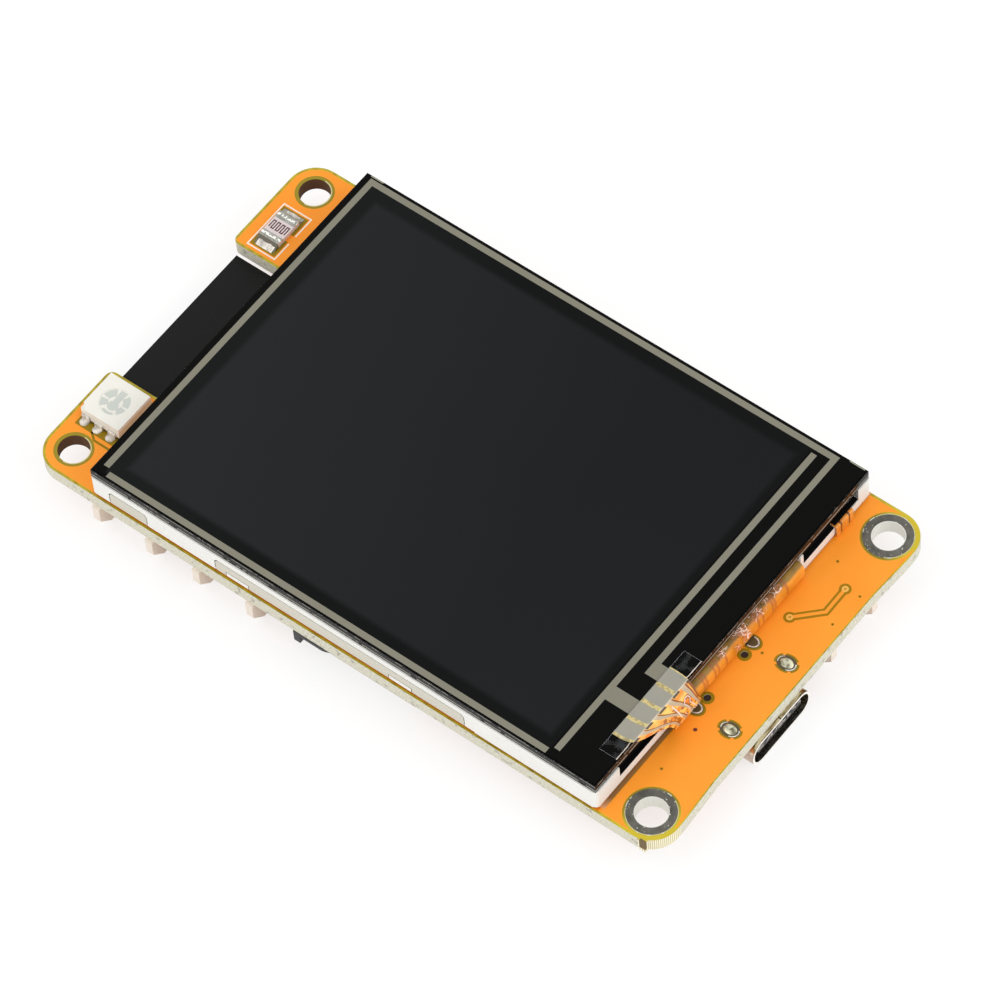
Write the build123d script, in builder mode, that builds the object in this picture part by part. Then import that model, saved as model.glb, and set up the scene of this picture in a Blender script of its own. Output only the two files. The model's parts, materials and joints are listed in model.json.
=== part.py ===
"""Touch display development board: a resistive touch panel on an orange circuit board.

Millimetres. The origin is the centre of the four corner holes on the board's display side.
+X runs along the board to the USB end, +Z out of the display.
"""

import os

from build123d import *

os.makedirs("parts", exist_ok=True)

# Driving sizes: the panel, and the board's margins round it
panel_len = 60.26
panel_wid = 42.72
near_margin = 7.67
far_margin = 7.07
side_margin = 0.14
board_t = 1.6
corner_r = 3.0
hole_inset = 3.0
hole_dia = 3.2
ring_dia = 5.0
plating_t = 0.05
end_relief = 0.28

# Board and panel edges that follow
board_len = near_margin + panel_len + far_margin
board_wid = panel_wid + 2 * side_margin
end_x = board_len / 2
side_y = board_wid / 2
back = -board_t
hole_x = end_x - hole_inset
hole_y = side_y - hole_inset
panel_x = (near_margin - far_margin) / 2
panel_start_x = panel_x - panel_len / 2
panel_end_x = panel_x + panel_len / 2
panel_side_y = panel_wid / 2

# Antenna notch and the stub of a break-off tab
notch_wid = 18.6
notch_depth = 6.3
notch_r = 0.8
stub_shift = 1.1
stub_wid = 0.8
stub_reach = 0.25

# Display panel, from the board up
tape_t = 0.45
tape_wid = 6.0
tape_inset = 1.5
frame_h = 2.55
frame_wall = 0.75
frame_corner_r = 0.5
frame_foot_h = 0.15
frame_foot_x = panel_x + 15.9
tray_t = 0.15
flange_h = 1.67
flange_cut = 0.3
slit_gap = 0.08
short_flange_len = 4.5
short_flange_x = panel_start_x + 4.58
long_flange_len = 29.6
long_flange_x = panel_x - 0.1
snap_xs = (long_flange_x - long_flange_len / 2 + 2.6, long_flange_x + long_flange_len / 4 - 0.15)
snap_len = 2.8
snap_h = 0.65
lip_h = 1.05
window_from = 3.56 - panel_side_y
window_to = panel_side_y - 2.01
window_slope = 0.5
post_wid = 0.45
guide_t = 0.8
diffuser_t = 0.25
cell_glass_t = 0.5
polariser_t = 0.12
pocket_gap = 0.2
ledge_wid = 2.9
gasket_t = 0.1
gasket_wid = 1.6
touch_glass_t = 0.92
touch_film_t = 0.18
touch_glass_inset = 0.15
touch_film_inset = 0.3
driver_len = 17.0
driver_wid = 0.9
driver_h = 0.3
light_strip_wid = 2.6
backlight_led_count = 4
backlight_led_len = 2.8
backlight_led_wid = 0.6
backlight_led_h = 0.6
shade_t = 0.12
shade_margin = 0.02

# Levels inside the panel
frame_top = tape_t + frame_h
pocket_end_x = panel_end_x - frame_wall
pocket_side_y = panel_side_y - frame_wall
lip_top = tape_t + lip_h
tray_top = tape_t + tray_t
guide_top = tray_top + guide_t
diffuser_top = guide_top + diffuser_t
rear_glass_top = diffuser_top + cell_glass_t
front_glass_top = rear_glass_top + cell_glass_t
gasket_top = frame_top + gasket_t
touch_glass_top = gasket_top + touch_glass_t
film_top = touch_glass_top + touch_film_t
film_end_x = panel_end_x - touch_film_inset
cell_end_x = pocket_end_x - pocket_gap
cell_len = panel_len - 2 * (frame_wall + pocket_gap)
cell_wid = panel_wid - 2 * (frame_wall + pocket_gap)
backlight_led_pitch = cell_wid / (backlight_led_count + 1)
front_glass_x = panel_x - ledge_wid / 2

# Printed conductors on the touch film
trace_t = 0.02
trace_wid = 0.66
near_end_trace_x = panel_start_x + 1.28
outer_trace_x = panel_end_x - 3.45
inner_trace_x = panel_end_x - 5.36
far_trace_y = panel_side_y - 0.91
near_trace_y = 0.71 - panel_side_y
trace_start_y = near_trace_y + 0.55
inner_trace_end_y = far_trace_y - 0.73
pad_pitch = 2.18
pad_wid = 1.7
pad_count = 4
pad_row_y = 10.05 - panel_side_y

# Flexible circuits
flex_t = 0.12
display_flex_wid = 20.4
display_flex_r = 1.0
display_flex_low_r = 0.45
display_flex_end_x = panel_end_x + 0.41
display_flex_top = rear_glass_top + 0.14
display_flex_low = 0.29
bond_len = 1.0
tail_end_x = panel_end_x - 3.93
touch_flex_t = 0.1
touch_flex_wid = 8.8
touch_flex_x = film_end_x - 1.93
touch_flex_edge_x = panel_end_x + 0.32
touch_flex_out = panel_end_x + 0.85
touch_flex_bend_r = 0.3
touch_flex_low = 0.1
touch_flex_drop = 1.98
touch_flex_shift = 1.07
touch_flex_neck_wid = 3.9
touch_flex_neck_shift = 0.1
touch_flex_tail_wid = 4.3
cover_tape_t = 0.05
cover_tape_len = 1.95
cover_tape_over = 2.1
light_tail_y = panel_side_y - 4.5
light_tail_wid = 2.6

# Light and colour parts on the display side
led_x = 0.5 - hole_x
led_y = 5.8 - hole_y
led_size = 5.0
led_h = 1.55
led_taper = 3.0
led_chamfer = 0.7
led_window_dia = 3.1
led_window_depth = 0.05
led_pitch = 1.6
led_lead_wid = 0.9
led_lead_t = 0.2
led_lead_reach = 0.28
led_lead_h = 0.8
sensor_x = 0.06 - hole_x
sensor_y = hole_y - 5.62
sensor_wid = 2.4
sensor_len = 3.25
sensor_h = 0.55
electrode_len = 0.75
electrode_t = 0.04
solder_len = 0.8
solder_h = 0.35

# Radio module
module_x = 0.63 - end_x
module_len = 25.5
module_wid = 18.0
module_t = 0.8
module_pad_pitch = 1.27
module_pad_wid = 0.8
module_pad_t = 0.06
side_pad_count = 14
side_pad_inset = 1.5
end_pad_count = 10
antenna_len = 6.9
can_len = 17.6
can_wid = 15.8
can_h = 2.3
can_wall = 0.2
can_corner_r = 1.0
radio_chip_size = 5.0
radio_chip_x = 17.4
memory_chip_len = 6.0
memory_chip_wid = 5.0
memory_chip_x = 10.9
inner_chip_h = 0.85

# USB receptacle
usb_y = -2.78
usb_overhang = 0.1
usb_wid = 8.94
usb_h = 3.2
usb_len = 7.35
usb_wall = 0.28
usb_corner_r = 1.5
usb_block_len = 2.4
usb_post_y = 4.42
usb_post_t = 0.28
usb_post_len = 1.1
usb_mouth_x = end_x + usb_overhang
front_post_x = usb_mouth_x - 2.56
rear_post_x = usb_mouth_x - 6.63
post_slot_wid = 0.6
front_slot_len = 1.5
rear_slot_len = 1.7
peg_y = 2.89
peg_x = usb_mouth_x - 6.3
peg_dia = 0.5
peg_hole_dia = 0.75
peg_len = 0.8
tongue_wid = 6.7
tongue_t = 0.7
tongue_len = 4.4
usb_contact_count = 12
usb_contact_pitch = 0.5
usb_contact_wid = 0.25
usb_contact_t = 0.05

# Wire sockets
wide_pin_count = 4
narrow_pin_count = 2
pin_pitch = 1.25
socket_side = 1.8
socket_h = 3.4
socket_depth = 4.8
socket_wall = 0.85
socket_floor = 0.6
socket_back = 1.0
lug_reach = 2.0
lug_tip_h = 2.0
lug_slope = 1.4
pin_size = 0.35
pin_reach = 1.6
pin_tail = 0.7
nail_t = 0.2
nail_wid = 1.0
nail_h = 1.6
nail_foot = 0.9
side_overhang = 0.3
side_back_y = side_y + side_overhang - socket_depth
socket_a_x = 11.4 - end_x
socket_b_x = 23.65 - end_x
socket_c_x = end_x - 0.54 - socket_depth
socket_c_y = 9.6
battery_socket_x = 12.0
speaker_socket_x = 0.0

# Memory card slot
card_x = 1.475
card_wid = 14.05
card_front_y = -side_y - 0.08
card_len = 14.6
card_h = 1.7
card_lip_len = 3.15
card_scoop_len = 2.6
card_scoop = 0.8
card_wall = 0.9
card_back = 1.4
card_floor_t = 0.45
card_shell_t = 0.15
card_contact_count = 8
card_contact_pitch = 1.1
card_contact_wid = 0.5
card_contact_len = 6.0
card_tail = 0.6

# Push buttons
button_size = 5.1
button_base_h = 1.0
button_cover_t = 0.15
button_dia = 2.4
button_h = 0.45
button_flange_dia = 3.1
button_flange_t = 0.25
button_gap = 0.15
button_top_gap = 0.02
button_cup_dia = 3.6
button_cup_depth = 0.6
button_lead_wid = 0.7
button_lead_reach = 0.7
button_lead_y = 1.85
reset_button_x = end_x - 21.9
boot_button_x = end_x - 12.3
button_y = 3.9 - side_y

# Chip packages: body length, width and height
chip_lead_t = 0.2
chip_foot = 0.5
lead_reach = 1.05
wide_pitch = 1.27
wide_lead = 0.42
fine_pitch = 0.65
fine_lead = 0.25
long_package = (9.9, 3.9, 1.5)
short_package = (4.9, 3.9, 1.4)
thin_package = (5.0, 4.4, 0.95)
regulator_package = (6.5, 3.5, 1.6)
regulator_pitch = 2.3
regulator_lead = 0.7
regulator_tab = 3.0
regulator_reach = 1.75
transistor_package = (2.9, 1.3, 1.0)
transistor_pitch = 1.9
transistor_reach = 0.65

# Two-terminal parts
resistor_len = 1.6
resistor_wid = 0.8
resistor_h = 0.45
resistor_cap = 0.3
resistor_step = 1.7
capacitor_len = 2.0
capacitor_wid = 1.25
capacitor_h = 0.9
capacitor_cap = 0.45
capacitor_step = 2.2

# Places on the back, from the module's inner end, the USB end and the sides
module_end_x = module_x + module_len
back_mid_x = (module_end_x + end_x) / 2
serial_chip_x = end_x - 16.5
serial_chip_y = 6.0
touch_chip_x = back_mid_x - 10.57
touch_chip_y = 2.5
sound_chip_x = module_end_x + 4.87
sound_chip_y = side_y - 8.7
charge_chip_x = end_x - 17.0
charge_chip_y = side_y - 4.9
regulator_x = end_x - 17.0
regulator_y = 14.0 - side_y
transistor_x = end_x - 9.2
transistor_ys = (10.6 - side_y, side_y - 11.1, side_y - 6.9)
long_row_count = 5
middle_row_count = 4
short_row_count = 3
pair_count = 2
resistor_rows = (
    (end_x - 30.9, side_y - 11.9, long_row_count),
    (end_x - 28.5, 1.5, middle_row_count),
    (end_x - 26.5, -9.0, short_row_count),
    (module_end_x + 1.97, 1.0, short_row_count),
)
capacitor_rows = (
    (end_x - 27.0, -4.5, short_row_count),
    (module_end_x + 2.77, -3.6, short_row_count),
    (end_x - 32.5, side_y - 7.0, pair_count),
)


def save(piece, node):
    """Label one finished piece and write it under its node's name."""
    piece.part.label = node
    export_step(piece.part, f"parts/{node}.step")


def underside(x, y, row=(1, 0, 0)):
    """A plane on the board's back: z runs away from the board, x along row, y outward."""
    return Plane(origin=(x, y, back), x_dir=row, z_dir=(0, 0, -1))


def side_of(plane, shift=0.0):
    """The upright plane across a mounting plane: x outward, y away from the board."""
    origin = plane.from_local_coords((shift, 0, 0))
    return Plane(origin=origin, x_dir=plane.y_dir, z_dir=plane.x_dir)


def sheet(z, length, width, thickness, x=panel_x):
    """A flat rectangular sheet lying at height z, centred on the panel."""
    with BuildPart() as piece:
        with BuildSketch(Plane.XY.offset(z)):
            with Locations((x, 0)):
                Rectangle(length, width)
        extrude(amount=thickness)
    return piece


# Circuit board with its antenna notch, corner holes and receptacle slots
with BuildPart() as circuit_board:
    with BuildSketch(Plane.XY.offset(back)) as outline:
        RectangleRounded(board_len, board_wid, corner_r)
        with Locations((-end_x, 0)):
            Rectangle(2 * notch_depth, notch_wid, mode=Mode.SUBTRACT)
        fillet([v for v in outline.vertices() if abs(abs(v.Y) - notch_wid / 2) < 0.01], notch_r)
        relief_y = hole_y - (corner_r**2 - (corner_r - end_relief) ** 2) ** 0.5
        with Locations((end_x, 0)):
            Rectangle(2 * end_relief, 2 * relief_y, mode=Mode.SUBTRACT)
        stub_y = corner_r - side_y - (corner_r**2 - stub_shift**2) ** 0.5
        with Locations((end_x - corner_r + stub_shift, stub_y)):
            Rectangle(stub_wid, 2 * stub_reach)
        for end, radius in ((-1, hole_dia / 2), (1, hole_dia / 2 + plating_t)):
            with Locations((end * hole_x, 0)):
                with GridLocations(0, 2 * hole_y, 1, 2):
                    Circle(radius, mode=Mode.SUBTRACT)
        for slot_x, slot_len in ((front_post_x, front_slot_len), (rear_post_x, rear_slot_len)):
            with Locations((slot_x, usb_y)):
                with GridLocations(0, 2 * usb_post_y, 1, 2):
                    SlotOverall(slot_len, post_slot_wid, mode=Mode.SUBTRACT)
        with Locations((peg_x, usb_y)):
            with GridLocations(0, 2 * peg_y, 1, 2):
                Circle(peg_hole_dia / 2, mode=Mode.SUBTRACT)
    extrude(amount=board_t)
save(circuit_board, "circuit_board")

# Plated barrels and rings of the two corner holes at the USB end
hole_r = hole_dia / 2
barrel_r = hole_r + plating_t
with BuildPart() as hole_rings:
    for ring_y in (-hole_y, hole_y):
        with BuildSketch(Plane.XZ.offset(-ring_y)):
            with BuildLine():
                Polyline(
                    (hole_x + hole_r, back - plating_t),
                    (hole_x + ring_dia / 2, back - plating_t),
                    (hole_x + ring_dia / 2, back),
                    (hole_x + barrel_r, back),
                    (hole_x + barrel_r, 0),
                    (hole_x + ring_dia / 2, 0),
                    (hole_x + ring_dia / 2, plating_t),
                    (hole_x + hole_r, plating_t),
                    close=True,
                )
            make_face()
        revolve(axis=Axis((hole_x, ring_y, 0), (0, 0, 1)))
save(hole_rings, "hole_rings")

# Two strips of foam tape that hold the panel off the board
with BuildPart() as mounting_tape:
    with BuildSketch(Plane.XY):
        with Locations((panel_x, 0)):
            with GridLocations(0, panel_wid - 2 * tape_inset - tape_wid, 1, 2):
                Rectangle(panel_len - 4 * tape_inset, tape_wid)
    extrude(amount=tape_t)
save(mounting_tape, "mounting_tape")

# Metal tray behind the backlight, its flanges folded up outside the frame
flanges = ((short_flange_x, short_flange_len), (long_flange_x, long_flange_len))
with BuildPart() as backlight_tray:
    with BuildSketch(Plane.XY.offset(tape_t)):
        with Locations((panel_x, 0)):
            Rectangle(cell_len, cell_wid)
        for flange_x, flange_len in flanges:
            with Locations((flange_x, 0)):
                Rectangle(flange_len, panel_wid)
    extrude(amount=tray_t)
    for wall_y in (panel_side_y, tray_t - panel_side_y):
        for flange_x, flange_len in flanges:
            with BuildSketch(Plane.XZ.offset(-wall_y)) as flange:
                with Locations((flange_x, tape_t + flange_h / 2)):
                    Rectangle(flange_len, flange_h)
                chamfer(flange.vertices().group_by(Axis.Z)[-1], flange_cut)
            extrude(amount=tray_t)
    with BuildSketch(Plane.XY.offset(tape_t)):
        for snap_x in snap_xs:
            with Locations((snap_x, 0)):
                with GridLocations(0, 2 * pocket_side_y + frame_wall, 1, 2):
                    Rectangle(snap_len, frame_wall)
    extrude(amount=snap_h, mode=Mode.SUBTRACT)
save(backlight_tray, "backlight_tray")

# White frame: a ring with pockets for the flanges and a side window for the flexes
with BuildPart() as backlight_frame:
    with BuildSketch(Plane.XY.offset(tape_t)):
        with Locations((panel_x, 0)):
            RectangleRounded(panel_len, panel_wid, frame_corner_r)
            Rectangle(2 * (pocket_end_x - panel_x), 2 * pocket_side_y, mode=Mode.SUBTRACT)
    extrude(amount=frame_h)
    foot_len = panel_end_x - frame_corner_r - frame_foot_x
    with BuildSketch(Plane.XY.offset(tape_t - frame_foot_h)):
        with Locations((frame_foot_x + foot_len / 2, 0)):
            with GridLocations(0, 2 * pocket_side_y + frame_wall, 1, 2):
                Rectangle(foot_len, frame_wall)
    extrude(amount=frame_foot_h)
    for flange_x, flange_len in flanges:
        with BuildSketch(Plane.XY.offset(tape_t)):
            with Locations((flange_x, 0)):
                with GridLocations(0, 2 * pocket_side_y + frame_wall, 1, 2):
                    Rectangle(flange_len + 2 * slit_gap, frame_wall)
        extrude(amount=tray_t, mode=Mode.SUBTRACT)
        for wall_y in (panel_side_y, tray_t - panel_side_y):
            with BuildSketch(Plane.XZ.offset(-wall_y)) as pocket:
                with Locations((flange_x, tape_t + (flange_h + slit_gap) / 2)):
                    Rectangle(flange_len + 2 * slit_gap, flange_h + slit_gap)
                chamfer(pocket.vertices().group_by(Axis.Z)[-1], flange_cut)
            extrude(amount=tray_t, mode=Mode.SUBTRACT)
    with BuildSketch(Plane.XY.offset(tape_t)):
        for snap_x in snap_xs:
            with Locations((snap_x, 0)):
                with GridLocations(0, 2 * pocket_side_y + frame_wall, 1, 2):
                    Rectangle(snap_len - 2 * slit_gap, frame_wall)
    extrude(amount=snap_h - slit_gap)
    with BuildSketch(Plane.XY.offset(lip_top)):
        with BuildLine():
            Polyline(
                (pocket_end_x, window_from),
                (panel_end_x, window_from),
                (panel_end_x, window_to),
                (pocket_end_x, window_to + window_slope),
                close=True,
            )
        make_face()
    extrude(amount=frame_top - lip_top, mode=Mode.SUBTRACT)
    with BuildSketch(Plane.XY.offset(lip_top)):
        with Locations((pocket_end_x + frame_wall / 2, (display_flex_wid + post_wid) / 2)):
            Rectangle(frame_wall, post_wid)
    extrude(amount=frame_top - lip_top)
save(backlight_frame, "backlight_frame")

# Backlight and display cell, stacked in the frame
guide_end_x = cell_end_x - light_strip_wid
guide_len = cell_len - light_strip_wid
guide_x = guide_end_x - guide_len / 2
save(sheet(tray_top, guide_len, cell_wid, guide_t, guide_x), "light_guide")
save(sheet(guide_top, cell_len, cell_wid, diffuser_t), "diffuser_film")
save(sheet(diffuser_top, cell_len, cell_wid, cell_glass_t), "lcd_rear_glass")
front_glass_len = cell_len - ledge_wid
save(sheet(rear_glass_top, front_glass_len, cell_wid, cell_glass_t, front_glass_x), "lcd_front_glass")
save(sheet(front_glass_top, front_glass_len, cell_wid, polariser_t, front_glass_x), "polariser")
driver_x = cell_end_x - ledge_wid + driver_wid
save(sheet(rear_glass_top, driver_wid, driver_len, driver_h, driver_x), "driver_chip")

# Side-shining backlight chips on their flex, facing the guide's end
with BuildPart() as backlight_leds:
    with BuildSketch(Plane.XY.offset(tray_top + flex_t)):
        with Locations((guide_end_x + backlight_led_wid, 0)):
            with GridLocations(0, backlight_led_pitch, 1, backlight_led_count):
                Rectangle(backlight_led_wid, backlight_led_len)
    extrude(amount=backlight_led_h)
save(backlight_leds, "backlight_leds")

# Backlight flex: a strip under its chips, and a tail over the lip and back under the frame
strip_mid = tray_top + flex_t / 2
tail_over = lip_top + flex_t / 2 + slit_gap
tail_out = panel_end_x + 2 * slit_gap + flex_t / 2
tail_under = slit_gap + flex_t / 2
tail_rise_x = pocket_end_x - slit_gap - flex_t / 2
strip_x = guide_end_x + light_strip_wid / 2
with BuildPart() as backlight_flex:
    with BuildSketch(Plane.XY.offset(tray_top)):
        with Locations((strip_x, 0)):
            Rectangle(light_strip_wid, 2 * (light_tail_y + light_tail_wid / 2))
    extrude(amount=flex_t)
    with BuildSketch(Plane.XZ.offset(light_tail_wid / 2 - light_tail_y)):
        with BuildLine() as tail:
            FilletPolyline(
                (strip_x, strip_mid),
                (tail_rise_x, strip_mid),
                (tail_rise_x, tail_over),
                (tail_out, tail_over),
                (tail_out, tail_under),
                (tail_end_x + light_strip_wid, tail_under),
                radius=flex_t,
            )
        trace(line_width=flex_t)
    extrude(amount=-light_tail_wid)
save(backlight_flex, "backlight_flex")

# Black strips that close the side window on both sides of the display flex
post_end_y = display_flex_wid / 2 + post_wid
flex_start_y = -display_flex_wid / 2
tail_start_y = light_tail_y - light_tail_wid / 2
with BuildPart() as shading_strip:
    with BuildSketch(Plane.XY.offset(lip_top)):
        for from_y, to_y in ((window_from, flex_start_y), (post_end_y, tail_start_y)):
            with Locations((pocket_end_x + 2 * shade_t, (from_y + to_y) / 2)):
                Rectangle(shade_t, to_y - from_y - 2 * slit_gap)
    extrude(amount=frame_top - lip_top)
    shade_start_x = pocket_end_x + 1.5 * shade_t
    shade_len = panel_end_x - shade_margin - shade_start_x
    tail_top = tail_over + flex_t / 2
    for level, from_y, to_y in (
        (lip_top, window_from, flex_start_y),
        (lip_top, post_end_y, tail_start_y),
        (tail_top, tail_start_y, window_to),
    ):
        with BuildSketch(Plane.XY.offset(level)):
            with Locations((shade_start_x + shade_len / 2, (from_y + to_y) / 2)):
                Rectangle(shade_len, to_y - from_y - 2 * slit_gap)
        extrude(amount=shade_t)
save(shading_strip, "shading_strip")

# Gasket, touch glass and touch film
glass_len = panel_len - 2 * touch_glass_inset
glass_wid = panel_wid - 2 * touch_glass_inset
with BuildPart() as touch_gasket:
    with BuildSketch(Plane.XY.offset(frame_top)):
        with Locations((panel_x, 0)):
            Rectangle(glass_len, glass_wid)
            Rectangle(glass_len - 2 * gasket_wid, glass_wid - 2 * gasket_wid, mode=Mode.SUBTRACT)
    extrude(amount=gasket_t)
save(touch_gasket, "touch_gasket")
save(sheet(gasket_top, glass_len, glass_wid, touch_glass_t), "touch_glass")
film_len = panel_len - 2 * touch_film_inset
film_wid = panel_wid - 2 * touch_film_inset
save(sheet(touch_glass_top, film_len, film_wid, touch_film_t), "touch_film")

# Silver conductors printed round the film, down to the four pads under the touch flex
pad_end_x = film_end_x - touch_film_inset / 2
pad_ys = [pad_row_y + ((pad_count - 1) / 2 - index) * pad_pitch for index in range(pad_count)]
with BuildPart() as silver_traces:
    with BuildSketch(Plane.XY.offset(film_top)):
        with BuildLine():
            Polyline(
                (near_end_trace_x, trace_start_y),
                (near_end_trace_x, far_trace_y),
                (outer_trace_x, far_trace_y),
                (outer_trace_x, pad_ys[0]),
            )
        trace(line_width=trace_wid)
        with BuildLine():
            Line((inner_trace_x, inner_trace_end_y), (inner_trace_x, trace_start_y))
        trace(line_width=trace_wid)
        with BuildLine():
            Line((near_end_trace_x + trace_wid, near_trace_y), (inner_trace_x - trace_wid, near_trace_y))
        trace(line_width=trace_wid)
        for from_x, pad_y in zip((outer_trace_x, touch_flex_x, inner_trace_x, touch_flex_x), pad_ys):
            with BuildLine():
                Line((from_x, pad_y), (pad_end_x, pad_y))
            trace(line_width=pad_wid)
    extrude(amount=trace_t)
save(silver_traces, "silver_traces")

# Touch flex: from the pads over the edge and under the frame, gathered sideways as it drops
flex_mid = film_top + trace_t + touch_flex_t / 2
flex_near_y = pad_row_y - touch_flex_wid / 2
flex_far_y = pad_row_y + touch_flex_wid / 2
shoulder_z = film_top - touch_flex_drop
foot_z = touch_flex_low + touch_flex_bend_r
tail_far_y = flex_far_y + touch_flex_shift
tail_near_y = tail_far_y - touch_flex_tail_wid
neck_far_y = flex_far_y + touch_flex_neck_shift
neck_near_y = neck_far_y - touch_flex_neck_wid
with BuildPart() as touch_flex:
    with BuildSketch(Plane.XZ):
        with BuildLine():
            FilletPolyline(
                (touch_flex_x, flex_mid),
                (touch_flex_edge_x, flex_mid),
                (touch_flex_out, shoulder_z),
                (touch_flex_out, foot_z + touch_flex_bend_r),
                (touch_flex_edge_x + touch_flex_t, touch_flex_low),
                (tail_end_x, touch_flex_low),
                radius=touch_flex_bend_r,
            )
        trace(line_width=touch_flex_t)
    extrude(amount=panel_side_y)
    with BuildSketch(Plane.YZ.offset(tail_end_x)):
        with BuildLine():
            Polyline(
                (flex_near_y, flex_mid + touch_flex_t),
                (flex_near_y, film_top),
                (neck_near_y, shoulder_z),
                (tail_near_y, foot_z),
                (tail_near_y, 0),
                (tail_far_y, 0),
                (tail_far_y, foot_z),
                (neck_far_y, shoulder_z),
                (flex_far_y, film_top),
                (flex_far_y, flex_mid + touch_flex_t),
                close=True,
            )
        make_face()
    extrude(amount=touch_flex_out - tail_end_x + touch_flex_t, mode=Mode.INTERSECT)
save(touch_flex, "touch_flex")

# Clear tape that holds the touch flex down on its pads
tape_x = film_end_x - cover_tape_len
tape_low = film_top + cover_tape_t / 2
tape_high = film_top + trace_t + touch_flex_t + cover_tape_t / 2
step_out = touch_flex_t + trace_t
with BuildPart() as cover_tape:
    with BuildSketch(Plane.YZ.offset(tape_x)):
        with BuildLine():
            Polyline(
                (flex_near_y - cover_tape_over, tape_low),
                (flex_near_y - 2 * step_out, tape_low),
                (flex_near_y - cover_tape_t, tape_high),
                (flex_far_y + cover_tape_t, tape_high),
                (flex_far_y + 2 * step_out, tape_low),
                (flex_far_y + cover_tape_over, tape_low),
            )
        trace(line_width=cover_tape_t)
    extrude(amount=cover_tape_len)
save(cover_tape, "cover_tape")

# Display flex: bonded to the glass ledge, folded round and back under the frame
with BuildPart() as display_flex:
    with BuildSketch(Plane.XZ.offset(-display_flex_wid / 2)):
        bond_mid = rear_glass_top + flex_t / 2
        upper_x = display_flex_end_x - display_flex_r
        upper_z = display_flex_top - display_flex_r
        lower_x = display_flex_end_x - display_flex_low_r
        lower_z = display_flex_low + display_flex_low_r
        with BuildLine():
            Line((cell_end_x - bond_len, bond_mid), (cell_end_x, bond_mid))
            Line((cell_end_x, bond_mid), (upper_x, display_flex_top))
            CenterArc((upper_x, upper_z), display_flex_r, 0, 90)
            Line((display_flex_end_x, upper_z), (display_flex_end_x, lower_z))
            CenterArc((lower_x, lower_z), display_flex_low_r, -90, 90)
            Line((lower_x, display_flex_low), (tail_end_x, display_flex_low))
        trace(line_width=flex_t)
    extrude(amount=display_flex_wid)
save(display_flex, "display_flex")

# RGB LED housing with a round window and one cut corner
with BuildPart() as rgb_led_body:
    with BuildSketch(Plane.XY):
        with Locations((led_x, led_y)):
            Rectangle(led_size, led_size)
    extrude(amount=led_h, taper=led_taper)
    cut_corner = rgb_led_body.edges().filter_by(GeomType.LINE)
    cut_corner = [e for e in cut_corner if e.center().X < led_x - 2 and e.center().Y < led_y - 2]
    chamfer([e for e in cut_corner if abs(e.center().Z - led_h / 2) < 0.1], led_chamfer)
    with BuildSketch(Plane.XY.offset(led_h)):
        with Locations((led_x, led_y)):
            Circle(led_window_dia / 2)
    extrude(amount=-led_window_depth, mode=Mode.SUBTRACT)
save(rgb_led_body, "rgb_led_body")

# RGB LED leads, three a side, standing against the housing
with BuildPart() as rgb_led_leads:
    for side in (-1, 1):
        lead_y = led_y + side * (led_size + led_lead_t) / 2
        foot_y = led_y + side * (led_size / 2 + led_lead_reach / 2)
        with BuildSketch(Plane.XY):
            with Locations((led_x, lead_y)):
                with GridLocations(led_pitch, 0, 3, 1):
                    Rectangle(led_lead_wid, led_lead_t)
        extrude(amount=led_lead_h)
        with BuildSketch(Plane.XY):
            with Locations((led_x, foot_y)):
                with GridLocations(led_pitch, 0, 3, 1):
                    Rectangle(led_lead_wid, led_lead_reach)
        extrude(amount=led_lead_t)
    add(rgb_led_body.part, mode=Mode.SUBTRACT)
save(rgb_led_leads, "rgb_led_leads")

# Light sensor: a ceramic body, electrodes at its ends and solder fillets on the board
sensor_end = sensor_len / 2
with BuildPart() as light_sensor_body:
    with BuildSketch(Plane.XY):
        with Locations((sensor_x, sensor_y)):
            Rectangle(sensor_wid, sensor_len)
    extrude(amount=sensor_h)
save(light_sensor_body, "light_sensor_body")

with BuildPart() as light_sensor_ends:
    with BuildSketch(Plane.XY.offset(sensor_h)):
        with Locations((sensor_x, sensor_y)):
            with GridLocations(0, sensor_len - electrode_len, 1, 2):
                Rectangle(sensor_wid, electrode_len)
    extrude(amount=electrode_t)
    for side in (-1, 1):
        with BuildSketch(Plane.YZ.offset(sensor_x - sensor_wid / 2)):
            wall_y = sensor_y + side * sensor_end
            with BuildLine():
                Polyline(
                    (wall_y, 0),
                    (wall_y + side * solder_len, 0),
                    (wall_y + side * solder_len, electrode_t),
                    (wall_y + side * electrode_len / 2, solder_h / 2),
                    (wall_y + side * electrode_t, sensor_h + electrode_t),
                    (wall_y, sensor_h + electrode_t),
                    close=True,
                )
            make_face()
        extrude(amount=sensor_wid)
save(light_sensor_ends, "light_sensor_ends")

# Radio module under the notch: its board, edge pads, can and the chips inside
module_centre = underside(module_x + module_len / 2, 0)
with BuildPart() as module_board:
    with BuildSketch(module_centre):
        Rectangle(module_len, module_wid)
    extrude(amount=module_t)
save(module_board, "module_board")

side_pads_x = module_len / 2 - side_pad_inset - (side_pad_count - 1) * module_pad_pitch / 2
with BuildPart() as module_pads:
    with BuildSketch(module_centre):
        with Locations((side_pads_x, 0)):
            with GridLocations(module_pad_pitch, module_wid + module_pad_t, side_pad_count, 2):
                Rectangle(module_pad_wid, module_pad_t)
        with Locations(((module_len + module_pad_t) / 2, 0)):
            with GridLocations(0, module_pad_pitch, 1, end_pad_count):
                Rectangle(module_pad_t, module_pad_wid)
    extrude(amount=module_t)
save(module_pads, "module_pads")

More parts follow.
